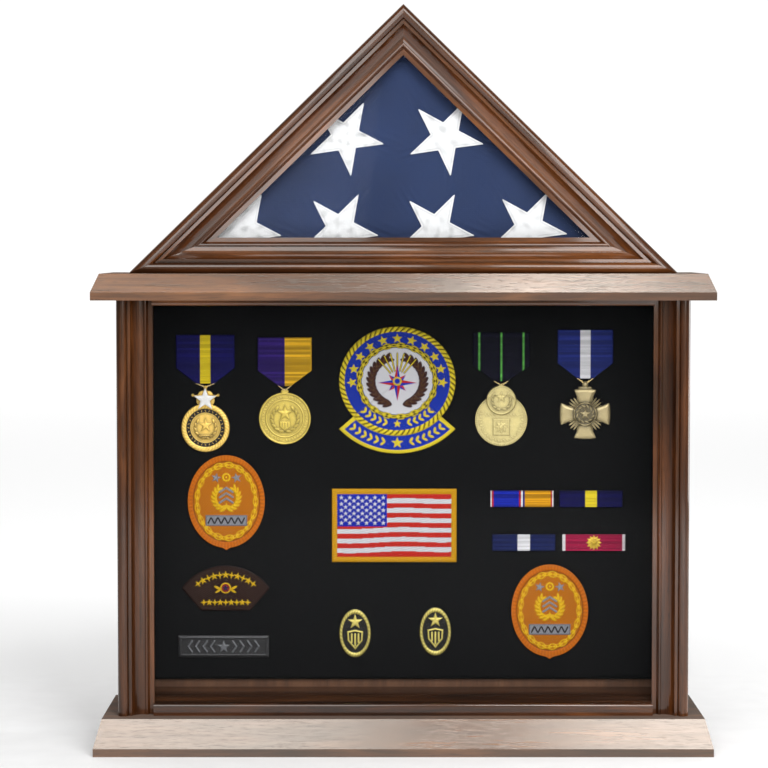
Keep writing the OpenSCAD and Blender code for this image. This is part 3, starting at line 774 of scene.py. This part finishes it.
def draw_oval(x, z):
    away = (1 - np.hypot(x / OVAL_X, z / OVAL_Z)) * (OVAL_X + OVAL_Z) / 2
    turn = np.arctan2(z / OVAL_Z, x / OVAL_X)
    gold, grey = shade(250, 200, 30), shade(150, 152, 160)
    relief = Relief(x, z, shade(204, 118, 0), 1.1)
    relief.lay(away - 4.4, shade(232, 122, 0), 0.7, 2.0)
    # Painted shade: the border's stitches are lighter and darker in turn, standing for light on
    # each stitch.
    relief.light(0.66 + 0.38 * (0.5 + 0.5 * np.cos(turn * 72)), away < 4.4)
    relief.lay(np.abs(away - 4.7) - 0.35, shade(120, 62, 8), -0.2)
    # Painted shade: fine diagonal lines across the field are lighter and darker, standing for
    # light on the twill stitches.
    twill = 0.5 + 0.5 * np.sin((x + z) * 2 * np.pi / 1.6)
    relief.light(0.88 + 0.14 * twill, away > 5.0)
    chain_at = np.hypot(x / 23.4, z / 29.4)
    chain(relief, (turn + math.pi) * 26.5, (chain_at - 1) * 26.5, 26.5 * 2 * math.pi / 34, 3.5,
          0.36, gold)
    for side in SIDES:
        star = relief.star(4.0, 1.7, 19.0, turn=90 + side * 12, across=side * 8.2)
        relief.lay(star, grey, 0.6)
    relief.lay(relief.hoop(2.7, 0.75, (0, 19.4)), gold, 0.5)
    relief.lay(relief.disc(0.9, (0, 19.4)), gold, 0.5)
    relief.laurel(9.4, 6, 130, 8, (5.2, 2.0), gold, 0.6, up=3.2)
    for drop in (11.0, 6.8, 2.6):
        for side in SIDES:
            relief.lay(relief.bar((0, drop), (side * 5.2, drop - 3.4), 0.8), grey, 0.5)
    relief.lay(relief.star(3.4, 1.5, -4.2), gold, 0.6)
    plate = np.maximum(np.abs(x) - 16.6, np.abs(z + 15.2) - 4.3)
    relief.lay(plate, grey, 0.5)
    relief.lay(np.abs(plate + 0.5) - 0.22, shade(86, 86, 92))
    for index in range(-5, 6):
        lean = 1.0 if index % 2 else -1.0
        stroke = relief.bar((index * 2.7 - lean, -17.3), (index * 2.7 + lean, -13.1), 0.55)
        relief.lay(stroke, shade(30, 24, 26), 0.2)
    return relief.result()


def oval_reach(turn):
    point = 0.045 * np.exp(-(off_foot(turn) / 0.05) ** 2)
    return ellipse_reach(OVAL_X, OVAL_Z)(turn) * (1 + point)


def cap_outline():
    """A cap from the side: a sloped foot and a crown that is part of a circle."""
    radius = (35.2 ** 2 + 18 ** 2) / 36
    start = math.asin((radius - 18) / radius)
    corners = [(-35.2, 0.0), (-19.7, -17.9), (19.7, -17.9), (35.2, 0.0)]
    steps = 24
    for index in range(1, steps):
        x, z = polar(radius, start + (math.pi - 2 * start) * index / steps)
        corners.append((x, 18 - radius + z))
    return corners


def draw_cap(x, z):
    inward = -polygon(x, z, cap_outline())
    gold = shade(240, 196, 20)
    relief = Relief(x, z, shade(48, 24, 14), 1.1)
    relief.rise += 0.5 * np.sqrt(np.clip(inward / 1.6, 0, 1))
    # Painted shade: the cap is darker towards its outline, where it rounds over, and lighter
    # inside.
    relief.light(0.86 + 0.2 * np.clip(inward / 3, 0, 1))
    for index in range(-5, 6):
        turn = 90 - index * 7.3
        across, up = polar(37.2, math.radians(turn))
        tips, inner = (4, 0.95) if index % 2 else (5, 1.25)
        relief.lay(relief.star(3.2, inner, up - 26.4, tips, turn, across), gold, 0.6)
    relief.lay(relief.disc(4.3, (0, 0.2)), gold, 0.35)
    relief.lay(relief.disc(3.4, (0, 0.2)), shade(150, 30, 30), 0.1)
    relief.lay(relief.star(3.2, 1.3, 0.2), shade(30, 34, 80), 0.25)
    for side in SIDES:
        relief.lay(relief.leaf((side * 6.6, 0.4), side * 0.5, 5.4, 2.0), gold, 0.45)
        relief.lay(relief.leaf((side * 6.2, -2.4), -side * 0.5, 4.6, 1.7), gold, 0.45)
    for index in range(-4, 5):
        size = (2.8, 1.2, -11.4) if index % 2 else (2.7, 1.0, -11.4, 4)
        relief.lay(relief.star(*size, across=index * 4.4), gold, 0.5)
    return relief.result()


def make_patches():
    make_patch("round_patch", "patch_blue", ROUND_Z, round_reach, (88, 620), draw_round_patch)
    for node in ("oval_patch_left", "oval_patch_right"):
        make_patch(node, "patch_gold", OVAL_Z, oval_reach, (72, 440), draw_oval, 0.0008,
                   -40)
    make_patch("cap_patch", "patch_brown", 18.0, reach_of(cap_outline()), (48, 400), draw_cap,
               lean=60)


# ---- Slabs: flag patch, ribbons, bars and plate ----

def grid_piece(node, spacing, drawing, material, slot, half_at=None, base=FRONT_OF_FELT):
    """A closed slab on the felt. drawing(x, z) takes millimetres from the middle and gives the
    rise and the tint; half_at(z) narrows it."""
    low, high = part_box(node)
    width, height = (high.x - low.x) / MM, (high.z - low.z) / MM
    share = np.linspace(-1, 1, max(8, round(width / spacing)))
    rows = np.linspace(-height / 2, height / 2, max(8, round(height / spacing)))
    half = np.full(rows.shape, width / 2) if half_at is None else half_at(rows)
    x, z = share[None, :] * half[:, None], np.repeat(rows[:, None], len(share), 1)
    rise, tint = drawing(x.ravel(), z.ravel())
    points, faces = grid_solid(x * MM + (low.x + high.x) / 2, z * MM + (low.z + high.z) / 2,
                               base - rise.reshape(x.shape) * MM, np.full(x.shape, base))
    return add_piece(node.capitalize(), (points, faces, np.concatenate([tint, tint])), material,
                     slot, node)


def draw_flag_patch(x, z):
    half_x, half_z, border = 49.9, 29.5, 4.2
    edge = np.minimum(half_x - np.abs(x), half_z - np.abs(z))
    relief = Relief(x, z, shade(206, 40, 28), 1.2)
    bend = 0.55 * np.sin(x * 0.085 + 1.2) + 0.012 * x
    field = half_z - 4.3
    down = (field - (z - bend)) / (2 * field / 13)
    is_white = (np.clip(np.floor(down), 0, 12) % 2 == 1) & (np.abs(z) < field)
    relief.tint = np.where(is_white[:, None], WHITE_THREAD, relief.tint)
    seam = np.abs(down % 1.0)
    relief.rise += 0.16 * np.sqrt(np.clip(np.minimum(seam, 1 - seam) * 6, 0, 1))
    canton = np.maximum(np.abs(x + 25.7) - 19.9, np.abs(z - 12.2) - 13.0)
    relief.lay(canton, shade(14, 38, 176), 0.15)
    near = canton < 0
    for row in range(9):
        for column in range(6 - row % 2):
            at = (-42.3 + (column + 0.5 * (row % 2)) * 6.7, 22.4 - row * 2.55)
            star = np.full(x.shape, 1.0)
            star[near] = polygon(x[near], z[near], star_corners(2.0, 0.85, at=at))
            relief.lay(star, WHITE_THREAD, 0.35)
    relief.lay(edge - border, shade(230, 168, 16))
    swell = 1.1 + 0.75 * np.sin(np.clip(edge / border, 0, 1) * np.pi)
    relief.rise = np.where(edge < border, swell, relief.rise)
    # Painted shade: the border's slanting stitches are lighter and darker in turn.
    stitch = 0.5 + 0.5 * np.cos((x + z) * 2 * np.pi / 1.3)
    relief.light(0.80 + 0.22 * stitch, edge < border)
    return relief.result()


def make_flag_patch():
    material = embroidery("Flag_patch_thread", 0.0007, 80)
    piece = grid_piece("flag_patch", 0.45, draw_flag_patch, material, "patch_flag")


def ribbed(x, z, half, colour_at, thick, seed, pitch=0.95, swell=0.0, bound=1.0):
    """Ribbed ribbon: each rib is a little lighter or darker at random, with a painted highlight
    on each rib's crest and painted shade along the rolled edges.
    """
    level = 0.66 + 1.1 * np.random.default_rng(seed).random(200) ** 2.4
    rib = z / pitch + 100
    ridge = np.cos(rib * 2 * np.pi)
    # The ridge term paints a highlight on each rib's crest.
    tone = np.interp(rib, np.arange(200) + 0.5, level) * (0.90 + 0.12 * ridge)
    # Painted shade along the edges, where the ribbon rolls down.
    tone = np.where(half - np.abs(x) < bound, 0.82, tone)
    rise = thick + 0.13 * ridge + swell * (1 - (x / half) ** 2)
    rise -= 0.5 * np.clip(1 - (half - np.abs(x)) / 0.7, 0, 1) ** 2
    tint = colour_at(x)
    tone = np.where(tint[:, 1] > 0.45, 1 + 0.4 * (tone - 1), tone)
    return rise, tint * tone[:, None]


def banded(first, *rest):
    """Colours across a ribbon: a colour, where the next one starts in millimetres, and so on."""
    def colour_at(x):
        tint = np.tile(shade(*first), (len(x), 1))
        for start, colour in zip(rest[::2], rest[1::2]):
            cover = np.clip((x - start) / 0.4 + 0.5, 0, 1)[:, None]
            tint = tint * (1 - cover) + shade(*colour) * cover
        return tint
    return colour_at


NAVY, INK, GREEN, BLUE = (24, 20, 96), (15, 13, 34), (98, 186, 84), (40, 52, 128)
DARK_NAVY, SLATE, RED, PALE = (20, 18, 74), (28, 38, 88), (190, 30, 44), (235, 235, 240)
ROSE_EDGE = (236, 232, 234)
# Each medal ribbon: its slot, how wide its foot is in millimetres, and its bands.
RIBBONS = {
    1: ("ribbon_navy_yellow", 14.7, banded(NAVY, -4.15, (242, 216, 44), 4.15, NAVY)),
    2: ("ribbon_purple_gold", 10.0, banded((54, 34, 112), 0.0, (232, 180, 44))),
    3: ("ribbon_navy_green", 11.5, banded(INK, -18.4, GREEN, -16.9, INK, -0.75, GREEN, 0.75, INK,
                                          16.9, GREEN, 18.4, INK)),
    4: ("ribbon_navy_white", 12.5, banded(BLUE, -4.1, (240, 240, 244), 4.1, BLUE))}
BARS = {
    1: ("bar_ribbon_red", banded(PALE, -24.2, RED, -22.7, (26, 44, 170), -2.4, RED, -0.8, PALE,
                                 0.6, (30, 44, 130), 2.2, (226, 160, 30), 22.9, RED, 24.1, PALE)),
    2: ("bar_ribbon_navy", banded(DARK_NAVY, -4.7, (232, 208, 48), 4.7, DARK_NAVY)),
    3: ("bar_ribbon_navy", banded(SLATE, -5.0, (232, 232, 236), 5.0, SLATE)),
    4: ("bar_ribbon_crimson", banded(ROSE_EDGE, -22.8, (172, 32, 76), 22.8, ROSE_EDGE))}


def make_medal_ribbon(number):
    node = f"medal_{number}_ribbon"
    low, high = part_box(node)
    width, height = (high.x - low.x) / MM, (high.z - low.z) / MM
    slot, foot, bands = RIBBONS[number]
    taper = 12.2

    def half_at(z):
        up = np.clip((z + height / 2) / taper, 0, 1)
        return (foot + (width - foot) * up) / 2

    def drawing(x, z):
        rise, tint = ribbed(x, z, half_at(z), bands, 1.5, number)
        fold = np.clip(1 - (height / 2 - z) / 1.2, 0, 1)
        return rise + 0.25 - 0.6 * fold ** 2, tint

    piece = grid_piece(node, 0.28, drawing, ribbon_cloth(f"Ribbon_{number}_cloth"), slot, half_at)


def make_ribbon_bar(number):
    node = f"ribbon_bar_{number}"
    slot, bands = BARS[number]

    def drawing(x, z):
        return ribbed(x, z, 25.25, bands, 0.9, 30 + number, 0.8, 0.35, 0.5)

    piece = grid_piece(node, 0.32, drawing, ribbon_cloth(f"Bar_{number}_cloth"), slot,
                       base=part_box(node)[1].y)


def make_sunburst():
    """Gold sunburst pinned to the fourth bar."""
    low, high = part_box("ribbon_bar_4")
    corners = star_corners(6.4, 4.3, 12)

    def shape(x, z):
        gold = shade(226, 190, 60)
        relief = Relief(x, z, gold, 0.7)
        relief.rise += 0.6 * np.clip(-polygon(x, z, corners) / 2.4, 0, 1)
        # Painted shade and highlight: the recessed middle is a darker copy of the gold and the
        # raised star a lighter one.
        relief.lay(relief.disc(2.9), gold * 0.8, -0.2)
        relief.lay(relief.star(2.6, 1.1), gold * 1.1, 0.6)
        return relief.result()

    solid = polar_solid(((low.x + high.x) / 2, (low.z + high.z) / 2), reach_of(corners), 18, 240,
                        shape, low.y + 0.0008)
    add_piece("Bar_sunburst", solid, struck("Sunburst_gold"), "medal_gold")


def draw_name_plate(x, z):
    metal_grey, pale = shade(66, 66, 68), shade(118, 120, 124)
    edge = np.minimum(36.35 - np.abs(x), 8.75 - np.abs(z))
    relief = Relief(x, z, metal_grey, 0.9)
    relief.rise += 0.8 * np.clip(edge / 1.6, 0, 1)
    # Painted highlight: the plate is lighter towards its edges, where they round over.
    relief.light(1.35 - 0.5 * np.clip(edge / 1.8, 0, 1))
    relief.lay(2.2 - edge, metal_grey * 0.62, -0.35, 0.8)
    for side in SIDES:
        for index in range(4):
            at = side * (9.5 + index * 6.0)
            tip = (at + side * 0.8, 0.0)
            relief.lay(relief.bar((at - side * 2.2, -4.4), tip, 0.75), pale, 0.5)
            relief.lay(relief.bar(tip, (at - side * 2.2, 4.4), 0.75), pale, 0.5)
    relief.lay(relief.star(5.4, 2.3, -0.4), pale, 0.5)
    return relief.result()


# ---- Medals and pins ----

GOLD = shade(250, 208, 104, 1.0)
YELLOW_GOLD = shade(240, 212, 100, 0.84)
PALE_GOLD = shade(240, 222, 150, 0.74)
BRONZE = shade(222, 202, 148, 0.62)


def pendant(number, radius):
    """A pendant's middle, and how far over it the pendant's box ends, in millimetres."""
    low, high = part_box(f"medal_{number}_pendant")
    centre = (low.x + high.x) / 2, low.z + radius * MM
    return centre, (high.z - centre[1]) / MM


def shifted(centre, x, z):
    return centre[0] + x * MM, centre[1] + z * MM


def plateau(corners, stand, rise, over, colour, power=1.0):
    """A shape that rises from the edge of a polygon to a level."""
    def shape(x, z):
        inward = np.clip(-polygon(x, z, corners) / over, 0, 1)
        return stand + rise * inward ** power, np.tile(colour, (len(x), 1))
    return shape


def domed(centre, radius, stand, rise, colour):
    """A small round stud that stands on a level and swells by rise."""
    def shape(x, z):
        swell = np.sqrt(np.clip(1 - (x * x + z * z) / (radius * radius), 0, 1))
        return stand + rise * swell, np.tile(colour, (len(x), 1))
    return polar_solid(centre, circle(radius), 8, 40, shape)


def eyelet_block(centre, half_width, low, high, stand, colour):
    """A rounded block between two heights over a pendant's centre."""
    half = (high - low) / 2

    def reach(turn):
        return 1 / ((np.abs(np.cos(turn)) / half_width) ** 5
                    + (np.abs(np.sin(turn)) / half) ** 5) ** 0.2

    def shape(x, z):
        inward = np.minimum(1 - np.abs(x) / half_width, 1 - np.abs(z) / half)
        return stand + 0.7 * np.sqrt(np.clip(inward * 3, 0, 1)), np.tile(colour, (len(x), 1))

    return polar_solid(shifted(centre, 0, (low + high) / 2), reach, 8, 64, shape)


def make_medal(number, look, slot, *solids):
    name = f"Medal_{number}_pendant"
    add_piece(name, merge(*solids), struck(*look), slot, name.lower())


def draw_first_disc(x, z):
    relief = Relief(x, z, GOLD, 1.7)
    band = relief.hoop(17.2, 2.1)
    relief.emboss(band, 0.8, 1.6)
    leaves = 0.5 + 0.5 * np.cos(relief.turn * 42 + (relief.radius - 17.2) * 1.6)
    relief.rise += np.where(band < 0, 0.18 * leaves, 0)
    # Painted shade and highlight: the wreath's leaves are lighter on their ridges and darker
    # between.
    relief.light(0.78 + 0.26 * leaves, band < 0)
    relief.lay(relief.hoop(13.7, 1.55), shade(8, 7, 18, 1.0), 0.1)
    for ends in strokes(13.6, 28, 1.3, (-0.4, 0.6)):
        relief.lay(relief.bar(*ends, 0.17), GOLD, 0.15)
    relief.emboss(relief.hoop(11.9, 0.3), 0.3)
    relief.emboss(relief.star(5.4, 2.2, 2.0), 0.7, 1.6)
    relief.spray(8.2, -80, 24, 6, 1.2, (3.6, 1.6), 0.45)
    relief.emboss(relief.bar((-5, -6.4), (5, -6.4), 0.5), 0.4)
    return relief.result()


def make_first_medal():
    centre, _ = pendant(1, 19.4)
    star_at = shifted(centre, 0, 22.8)
    corners, inner = star_corners(10.6, 4.6), star_corners(9.5, 3.95)

    def petals(turn):
        return 6.6 + 0.9 * np.abs(np.cos(2.5 * (turn + math.pi / 2)))

    def backing(x, z):
        # Painted light: the backing's fine rays are lighter and darker in turn.
        painted_light = 0.75 + 0.3 * np.cos(np.arctan2(z, x) * 40)
        return 1.5 + 0.4 * np.clip((7.4 - np.hypot(x, z)) / 2, 0, 1), np.outer(painted_light, GOLD)

    make_medal(1, ("Medal_1_gold",), "medal_gold",
               polar_solid(centre, circle(19.4), 54, 360, draw_first_disc),
               polar_solid(star_at, petals, 12, 160, backing),
               polar_solid(star_at, reach_of(corners), 14, 160,
                           plateau(corners, 2.2, 0.5, 0.8, GOLD)),
               domed(shifted(star_at, -10.1, 3.2), 1.25, 1.2, 1.6, GOLD),
               domed(shifted(star_at, 10.1, 3.2), 1.25, 1.2, 1.6, GOLD),
               domed(shifted(star_at, 0, 9.4), 1.5, 1.0, 1.8, GOLD))
    enamel = clouded("White_enamel", (0.82, 0.82, 0.80), 0.9, (300.0, 2.0), (0.25, 0.35), 0.00004,
                     Coat_Weight=0.8, Coat_Roughness=0.05)
    white_star = plateau(inner, 3.0, 0.45, 1.8, (1.0, 1.0, 1.0), 0.5)
    add_piece("Medal_1_star_enamel", polar_solid(star_at, reach_of(inner), 16, 200, white_star,
                                                 FRONT_OF_FELT - 0.0022), enamel, "medal_gold")


def draw_second_disc(x, z):
    relief = Relief(x, z, YELLOW_GOLD, 1.7)
    relief.emboss(relief.hoop(20.0, 0.7), 0.6, 0.8)
    relief.emboss(relief.hoop(14.9, 0.28), 0.35, 0.3)
    relief.marks(17.4, 46, 1.6, 0.3, 0.3, (11, 34))
    relief.emboss(relief.star(6.2, 2.7, 4.2), 0.8, 2.2)
    relief.spray(10.4, -74, 21, 7, 1.25, (4.6, 2.0), 0.55, 0.9, 0.5, up=-0.4)
    shield = [(-4.2, -2.4), (4.2, -2.4), (4.2, -6.4), (0, -10.6), (-4.2, -6.4)]
    relief.emboss(relief.polygon(shield), 0.6, 1.0, 0.5)
    # Painted shade: the shield's grooves are a darkened copy of the gold.
    for index in (-1, 0, 1):
        groove = relief.bar((index * 2.1, -3.4), (index * 2.1, -8.2 + abs(index) * 1.6), 0.3)
        relief.lay(groove, YELLOW_GOLD * 0.5, -0.2, 0.3)
    return relief.result()


def make_second_medal():
    centre, top = pendant(2, 20.8)
    make_medal(2, ("Medal_2_gold",), "medal_gold",
               polar_solid(centre, circle(20.8), 58, 380, draw_second_disc),
               eyelet_block(centre, 3.0, 20.0, top, 1.6, YELLOW_GOLD))


def draw_third_disc(x, z):
    relief = Relief(x, z, PALE_GOLD, 1.6)
    beads = 0.5 + 0.5 * np.cos(relief.turn * 84)
    edge = relief.hoop(20.2, 0.7) < 0
    # Painted shade and highlight: the rim's beads are lighter on their crests and darker between.
    relief.rise += np.where(edge, 0.5 * beads, 0)
    relief.light(0.66 + 0.36 * beads, edge)
    relief.emboss(relief.hoop(18.8, 0.2), 0.2, 0.3, 0.25)
    relief.marks(16.7, 44, 1.7, 0.28, 0.3, range(4, 19))
    for index in (-5, -4, -3, -2, 2, 3, 4, 5):
        stroke = relief.bar((index * 2.5 - 0.6, 4.9), (index * 2.5 + 0.5, 3.5), 0.28)
        relief.emboss(stroke, 0.25, 0.3, 0.25)
    square = np.maximum(np.abs(x), np.abs(z + 5.6)) - 6.6
    relief.emboss(square, 0.35, 0.5, 0.35)
    relief.emboss(np.abs(square + 0.9) - 0.15, 0.15, 0.2, 0.2)
    relief.emboss(relief.star(4.9, 3.0, -5.6, 8), 0.4, 1.2, 0.3)
    relief.emboss(relief.disc(1.5, (0, -5.6)), 0.4, 1.0, 0.3)
    upper = (0, 15.9)
    # Painted shade round the upper disc, which is painted a touch lighter.
    relief.paint_shade_round(relief.disc(11.8, upper), 0.45, 1.0)
    relief.lay(relief.disc(11.8, upper), PALE_GOLD * 1.02, 0.7)
    relief.emboss(relief.hoop(11.0, 0.35, upper), 0.25, 0.4, 0.3)
    relief.emboss(relief.star(4.2, 1.8, 18.2), 0.5, 1.4, 0.5)
    relief.spray(7.4, -70, 26, 5, 1.25, (3.6, 1.5), 0.45, 0.7, 0.45, up=15.6)
    return relief.result()


def make_third_medal():
    centre, top = pendant(3, 20.8)

    def reach(turn):
        room = 11.8 ** 2 - (15.9 * np.cos(turn)) ** 2
        far = np.where(room > 0, 15.9 * np.sin(turn) + np.sqrt(np.clip(room, 0, None)), 0)
        return np.maximum(20.8, far)

    make_medal(3, ("Medal_3_gold", 0.42), "medal_pale_gold",
               polar_solid(centre, reach, 66, 400, draw_third_disc),
               eyelet_block(centre, 2.1, 26.6, top, 1.6, PALE_GOLD))


def cross_corners():
    arm = [(4.9, 7.2), (5.6, 11.0), (7.0, 15.0), (9.3, 18.6), (8.2, 19.6), (4.2, 20.2),
           (0.0, 20.3)]
    outline = arm + [(-x, z) for x, z in arm[-2::-1]]
    corners = []
    for quarter in range(4):
        cos, sin = polar(1, math.pi / 2 * quarter)
        corners += [(x * cos - z * sin, x * sin + z * cos) for x, z in outline]
    return corners


def draw_cross(x, z):
    inward = -polygon(x, z, cross_corners())
    relief = Relief(x, z, BRONZE, 1.0)
    relief.rise += 1.3 * np.sqrt(np.clip(inward / 2.4, 0, 1))
    # Painted shade: the cross darkens towards its edges, where its arms round over, and painted
    # shade rings the centre disc.
    relief.light(0.35 + 0.65 * np.clip(inward / 1.1, 0, 1))
    relief.paint_shade_round(relief.disc(9.6), 0.75, 1.2)
    relief.lay(relief.disc(9.6), BRONZE * 0.22, 0.1)
    relief.emboss(relief.hoop(8.9, 0.5), 0.6, 0.5)
    relief.lay(relief.hoop(8.9, 0.45), BRONZE * 0.8)
    for index in range(12):
        angle = 2 * math.pi * index / 12 + 0.2
        leaf = relief.leaf(polar(6.4, angle), angle + 1.1, 3.4, 1.3)
        relief.lay(leaf, BRONZE * 0.72, 0.5, 0.5)
    relief.lay(relief.star(4.4, 1.9), BRONZE * 0.85, 0.7, 1.2)
    return relief.result()


def make_fourth_medal():
    centre, top = pendant(4, 20.2)

    def rays(turn):
        fan = np.full(turn.shape, 8.0)
        for index in range(20):
            step = index % 5 - 2
            angle = math.radians(45 + 90 * (index // 5) + step * 9.5)
            off = np.abs(np.angle(np.exp(1j * (turn - angle))))
            length = 8.6 - 0.9 * abs(step)
            fan = np.maximum(fan, 8 + length * np.clip(1.25 - off / 0.062, 0, 1) ** 0.5)
        return fan

    def ray_shape(x, z):
        comb = 0.5 + 0.5 * np.cos(np.arctan2(z, x) * 360 / 9.5)
        # Painted shade: the rays darken towards the middle, where the cross shades them.
        painted_light = 0.42 + 0.5 * np.clip((np.hypot(x, z) - 9) / 6, 0, 1)
        return 0.8 + 0.5 * comb, np.outer(painted_light, BRONZE)

    make_medal(4, ("Medal_4_bronze", 0.33), "medal_bronze",
               polar_solid(centre, rays, 20, 720, ray_shape),
               polar_solid(centre, reach_of(cross_corners()), 56, 480, draw_cross),
               eyelet_block(centre, 5.4, 19.6, 21.9, 1.6, BRONZE * 0.6),
               eyelet_block(centre, 1.6, 21.2, 23.2, 1.4, BRONZE * 0.7),
               domed(shifted(centre, 0, min(top - 0.9, 23.6)), 2.5, 0.8, 2.0, BRONZE * 0.9))


def draw_pin(x, z):
    gold, ground = shade(222, 206, 110, 1.0), shade(18, 16, 12, 1.0)
    relief = Relief(x, z, ground, 0.7)
    out = np.hypot(x / 12.6, z / 19.4)
    band = np.abs(out - 0.90) * 14 - 1.2
    twist = 0.5 + 0.5 * np.cos(np.arctan2(z / 19, x / 12.6) * 34 + out * 20)
    relief.lay(band, gold, 0.8, 1.2)
    # Painted shade and highlight: the twisted border is lighter on each strand's crest and darker
    # between.
    relief.light(0.55 + 0.5 * twist, band < 0)
    shield = relief.polygon([(-6.4, 1.6), (0.0, 3.0), (6.4, 1.6), (6.0, -6.0), (0.0, -13.2),
                             (-6.0, -6.0)])
    relief.lay(shield, gold, 0.9, 0.8)
    relief.lay(shield + 1.3, ground, -0.4, 0.5)
    for index in (-1, 0, 1):
        stripe = relief.bar((index * 2.7, -0.6), (index * 2.7, -9.6 + abs(index) * 2.4), 0.75)
        relief.lay(stripe, gold, 0.5)
    relief.lay(relief.star(6.6, 2.8, 9.2) - 0.2, ground, 0.1)
    relief.lay(relief.star(6.2, 2.6, 9.2), gold, 0.9, 1.6)
    return relief.result()


def make_pins():
    low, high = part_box("gold_pins")
    height = (low.z + high.z) / 2
    places = (low.x + 13 * MM, height - 0.7 * MM), (high.x - 13 * MM, height + 0.7 * MM)
    pins = [polar_solid(at, ellipse_reach(12.8, 19.6), 44, 300, draw_pin) for at in places]
    add_piece("Gold_pins", merge(*pins), struck("Pin_gold"), "medal_gold", "gold_pins")


def make_insignia():
    for number in RIBBONS:
        make_medal_ribbon(number)
        make_ribbon_bar(number)
    make_sunburst()
    make_first_medal()
    make_second_medal()
    make_third_medal()
    make_fourth_medal()
    make_patches()
    make_flag_patch()
    make_pins()
    grid_piece("name_plate", 0.35, draw_name_plate, struck("Plate_grey", 0.42, 0.55),
               "plate_grey")


# ---- Stage ----

def add_camera():
    camera = bpy.data.objects.new("Camera", bpy.data.cameras.new("Camera"))
    bpy.context.scene.collection.objects.link(camera)
    camera.location = (-0.0148, -1.98265, 0.39141)
    camera.rotation_euler = (math.radians(90 - 3.12), 0, 0)
    camera.data.lens = 119.0
    camera.data.sensor_width = 36.0
    bpy.context.scene.camera = camera


def add_softbox(name, azimuth, elevation, distance, size, power):
    lamp = bpy.data.lights.new(name, "AREA")
    lamp.shape = "RECTANGLE"
    lamp.size, lamp.size_y = size
    lamp.energy = power
    light = bpy.data.objects.new(name, lamp)
    across, height = polar(1, math.radians(elevation))
    toward, aside = polar(across, math.radians(azimuth))
    out = Vector((aside, -toward, height))
    light.location = Vector((0, 0, 0.30)) + out * distance
    light.rotation_euler = (-out).to_track_quat("-Z", "Y").to_euler()
    bpy.context.scene.collection.objects.link(light)


def add_stage_sheet(name, corners, look):
    mesh = bpy.data.meshes.new(name)
    mesh.from_pydata(corners, [], [(0, 1, 2, 3)])
    mesh.materials.append(look.material)
    sheet = bpy.data.objects.new(name, mesh)
    bpy.context.scene.collection.objects.link(sheet)


def add_studio():
    """A pale floor that glows behind the object, a lit white wall far behind, and softboxes."""
    reach, away, height = 6.0, 5.0, 8.0
    floor = Look("Pale_floor", Specular_IOR_Level=0.1)
    speckle = floor.noise(floor.place(), 40.0, 2.0)
    floor.colour(floor.between(speckle, 0.86, 0.89))
    floor.roughness(0.9)
    behind = floor.add("SeparateXYZ", {0: floor.place()}, output=1)
    painted_light = floor.ramp(floor.math("MULTIPLY", behind, 0.5), (0.05, 0.0), (0.5, 0.5))
    floor.put(floor.shader, "Emission Color", painted_light)
    floor.put(floor.shader, "Emission Strength", 1.0)
    add_stage_sheet("Floor", [(-reach, -reach, 0), (reach, -reach, 0), (reach, reach, 0),
                              (-reach, reach, 0)], floor)
    wall = Look("White_wall", Emission_Strength=1.0)
    cloud = wall.noise(wall.place(), 1.5, 1.0)
    wall.put(wall.shader, "Emission Color", wall.between(cloud, 0.97, 1.0))
    wall.colour(wall.between(cloud, 0.1, 0.12))
    wall.roughness(1.0)
    add_stage_sheet("Backdrop", [(-reach, away, 0), (reach, away, 0), (reach, away, height),
                                 (-reach, away, height)], wall)
    world = bpy.data.worlds.new("Studio")
    bpy.context.scene.world = world
    world.use_nodes = True
    background = world.node_tree.nodes["Background"]
    background.inputs["Color"].default_value = (1, 1, 1, 1)
    background.inputs["Strength"].default_value = 0.14
    add_softbox("Key", 21, 23, 1.7, (0.8, 1.4), 24)
    add_softbox("Glint", 10, 42, 1.7, (0.25, 0.25), 5)
    add_softbox("Front", -13, 24, 1.8, (0.8, 1.4), 18)
    add_softbox("Fill", -52, 24, 1.9, (0.5, 0.9), 1.5)
    add_softbox("Top", 0, 84, 1.6, (1.2, 0.7), 6)
    add_softbox("Side", 100, 12, 1.6, (0.4, 1.2), 9)
    bpy.context.scene.view_settings.view_transform = "Standard"


add_camera()
add_studio()
dress_wood()
dress_metal()
assign(glass(), "box_glass", "flag_glass")
make_flag()
make_felt()
make_insignia()
